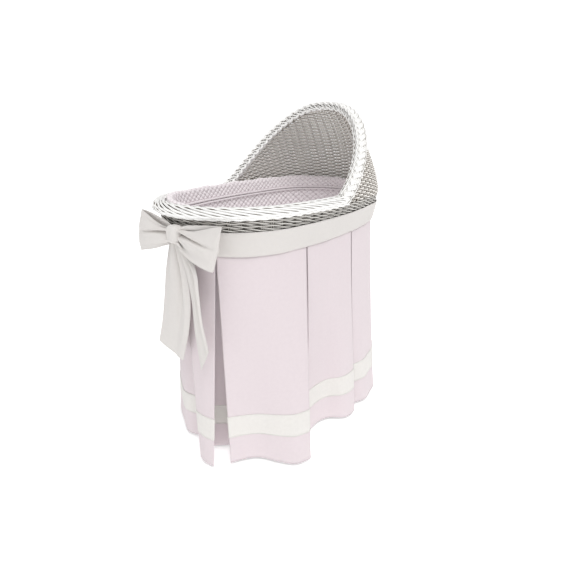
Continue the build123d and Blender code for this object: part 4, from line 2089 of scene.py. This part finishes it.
    def build(self) -> list[bpy.types.Object]:
        """Make the bow.

        Returns:
            The pieces.
        """
        left = self.loop("bow_left", 1.0, lambda edge: 0.137 - 0.010 * edge - 0.012 * edge**2, 0.013)
        right = self.loop("bow_right", -1.0, lambda edge: 0.140 + 0.019 * edge, 0.022)
        knot = self.knot()
        tail_left = self.tail(
            "bow_tail_left",
            "bow_tail_far",
            ((0.028, 0.734), (0.062, 0.640), (0.085, 0.550), (0.108, 0.470), (0.139, 0.388)),
            ((-0.006, 0.728), (-0.030, 0.645), (-0.032, 0.560), (-0.010, 0.465), (0.031, 0.356)),
            0.026,
            0.0050,
        )
        tail_right = self.tail(
            "bow_tail_right",
            "bow_tail_near",
            ((-0.006, 0.728), (-0.030, 0.655), (-0.044, 0.575), (-0.045, 0.480), (-0.057, 0.362)),
            ((-0.026, 0.728), (-0.078, 0.668), (-0.081, 0.595), (-0.081, 0.515), (-0.094, 0.432)),
            0.015,
            0.0045,
        )
        return [left, right, knot, tail_left, tail_right]


# ------------------------------------------------------------------ stand


@dataclass
class Stand:
    """Finishes of the stand and of the casters, whose solids are shown as they are."""

    finishes: Finishes

    def dress(self) -> None:
        """Give every shown solid its finish."""
        table = {
            "leg_": self.finishes.paint,
            "top_rail_": self.finishes.paint,
            "low_rail_": self.finishes.paint,
            "support_slats": self.finishes.paint,
            "shelf_slats": self.finishes.paint,
            "locating_blocks": self.finishes.paint,
            "base_board": self.finishes.board,
            "frame_bolts": self.finishes.zinc,
            "barrel_nuts": self.finishes.zinc,
            "caster_sockets": self.finishes.zinc,
            "caster_fork_": self.finishes.zinc,
            "caster_axle_": self.finishes.zinc,
            "caster_hub_": self.finishes.nylon,
            "caster_tyre_": self.finishes.rubber,
            "brake_pedal_": self.finishes.pedal,
        }
        for node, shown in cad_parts.items():
            for prefix, material in table.items():
                if node.startswith(prefix):
                    for slot in shown.material_slots:
                        slot.material = material


# ------------------------------------------------------------------ studio


@dataclass
class Studio:
    """Floor, lights and camera."""

    eye: Point = (-1.0880, -0.8326, 0.990)
    heading: float = -53.13
    pitch: float = -20.32
    lens: float = 26.13
    ambient: float = 0.53
    sun_strength: float = 1.60
    sun_heading: Point = (0.25, 0.38, -0.89)

    def floor(self) -> None:
        """Pale floor: one wide flat plane."""
        bm = bmesh.new()
        bmesh.ops.create_grid(bm, x_segments=1, y_segments=1, size=20.0)
        mesh = bpy.data.meshes.new("studio_floor")
        bm.to_mesh(mesh)
        bm.free()
        floor = bpy.data.objects.new("studio_floor", mesh)
        bpy.context.scene.collection.objects.link(floor)
        material = bpy.data.materials.new("Studio floor")
        material.use_nodes = True
        surface = material.node_tree.nodes["Principled BSDF"]
        surface.inputs["Base Color"].default_value = (0.94, 0.94, 0.94, 1.0)
        surface.inputs["Roughness"].default_value = 0.9
        surface.inputs["Emission Color"].default_value = (1.0, 1.0, 1.0, 1.0)
        surface.inputs["Emission Strength"].default_value = 0.42
        mesh.materials.append(material)

    def sun(self) -> None:
        """One very soft overhead light from the near side."""
        data = bpy.data.lights.new("softbox", "SUN")
        data.energy = self.sun_strength
        data.angle = math.radians(32)
        made = bpy.data.objects.new("softbox", data)
        made.location = (1.0, -2.6, 3.6)
        made.rotation_euler = Vector(self.sun_heading).to_track_quat("-Z", "Y").to_euler()
        bpy.context.scene.collection.objects.link(made)

    def sky(self) -> None:
        """White surroundings, softer as a light than they look behind the object."""
        world = bpy.data.worlds.new("studio")
        world.use_nodes = True
        tree = world.node_tree
        background = tree.nodes["Background"]
        background.inputs[0].default_value = (1.0, 1.0, 1.0, 1.0)
        path = tree.nodes.new("ShaderNodeLightPath")
        strength = tree.nodes.new("ShaderNodeMapRange")
        strength.inputs["To Min"].default_value = self.ambient
        strength.inputs["To Max"].default_value = 1.05
        tree.links.new(path.outputs["Is Camera Ray"], strength.inputs["Value"])
        tree.links.new(strength.outputs[0], background.inputs[1])
        bpy.context.scene.world = world

    def camera(self) -> None:
        """Camera with its level horizon."""
        data = bpy.data.cameras.new("camera")
        data.sensor_width = 36.0
        data.lens = self.lens
        data.clip_start = 0.05
        made = bpy.data.objects.new("camera", data)
        made.location = self.eye
        made.rotation_euler = (
            math.radians(90 + self.pitch),
            0.0,
            math.radians(self.heading),
        )
        bpy.context.scene.collection.objects.link(made)
        bpy.context.scene.camera = made

    def build(self) -> None:
        """Set up the studio."""
        self.floor()
        self.sky()
        self.sun()
        bpy.context.scene.view_settings.view_transform = "Standard"
        self.camera()


# ------------------------------------------------------------------ all together


def main() -> None:
    """Build every sub-assembly in order."""
    logging.basicConfig(level=logging.INFO, format="%(name)s: %(message)s")
    finishes = Finishes()
    Studio().build()
    LOG.info("studio ready")
    for part in (WickerBasket(finishes), Bedding(finishes), Skirt(finishes), Bow(finishes)):
        for piece in part.build():
            LOG.info("%s: %d faces", piece.name, len(piece.data.polygons))
    Stand(finishes).dress()
    LOG.info("stand dressed")


if __name__ == "__main__":
    main()
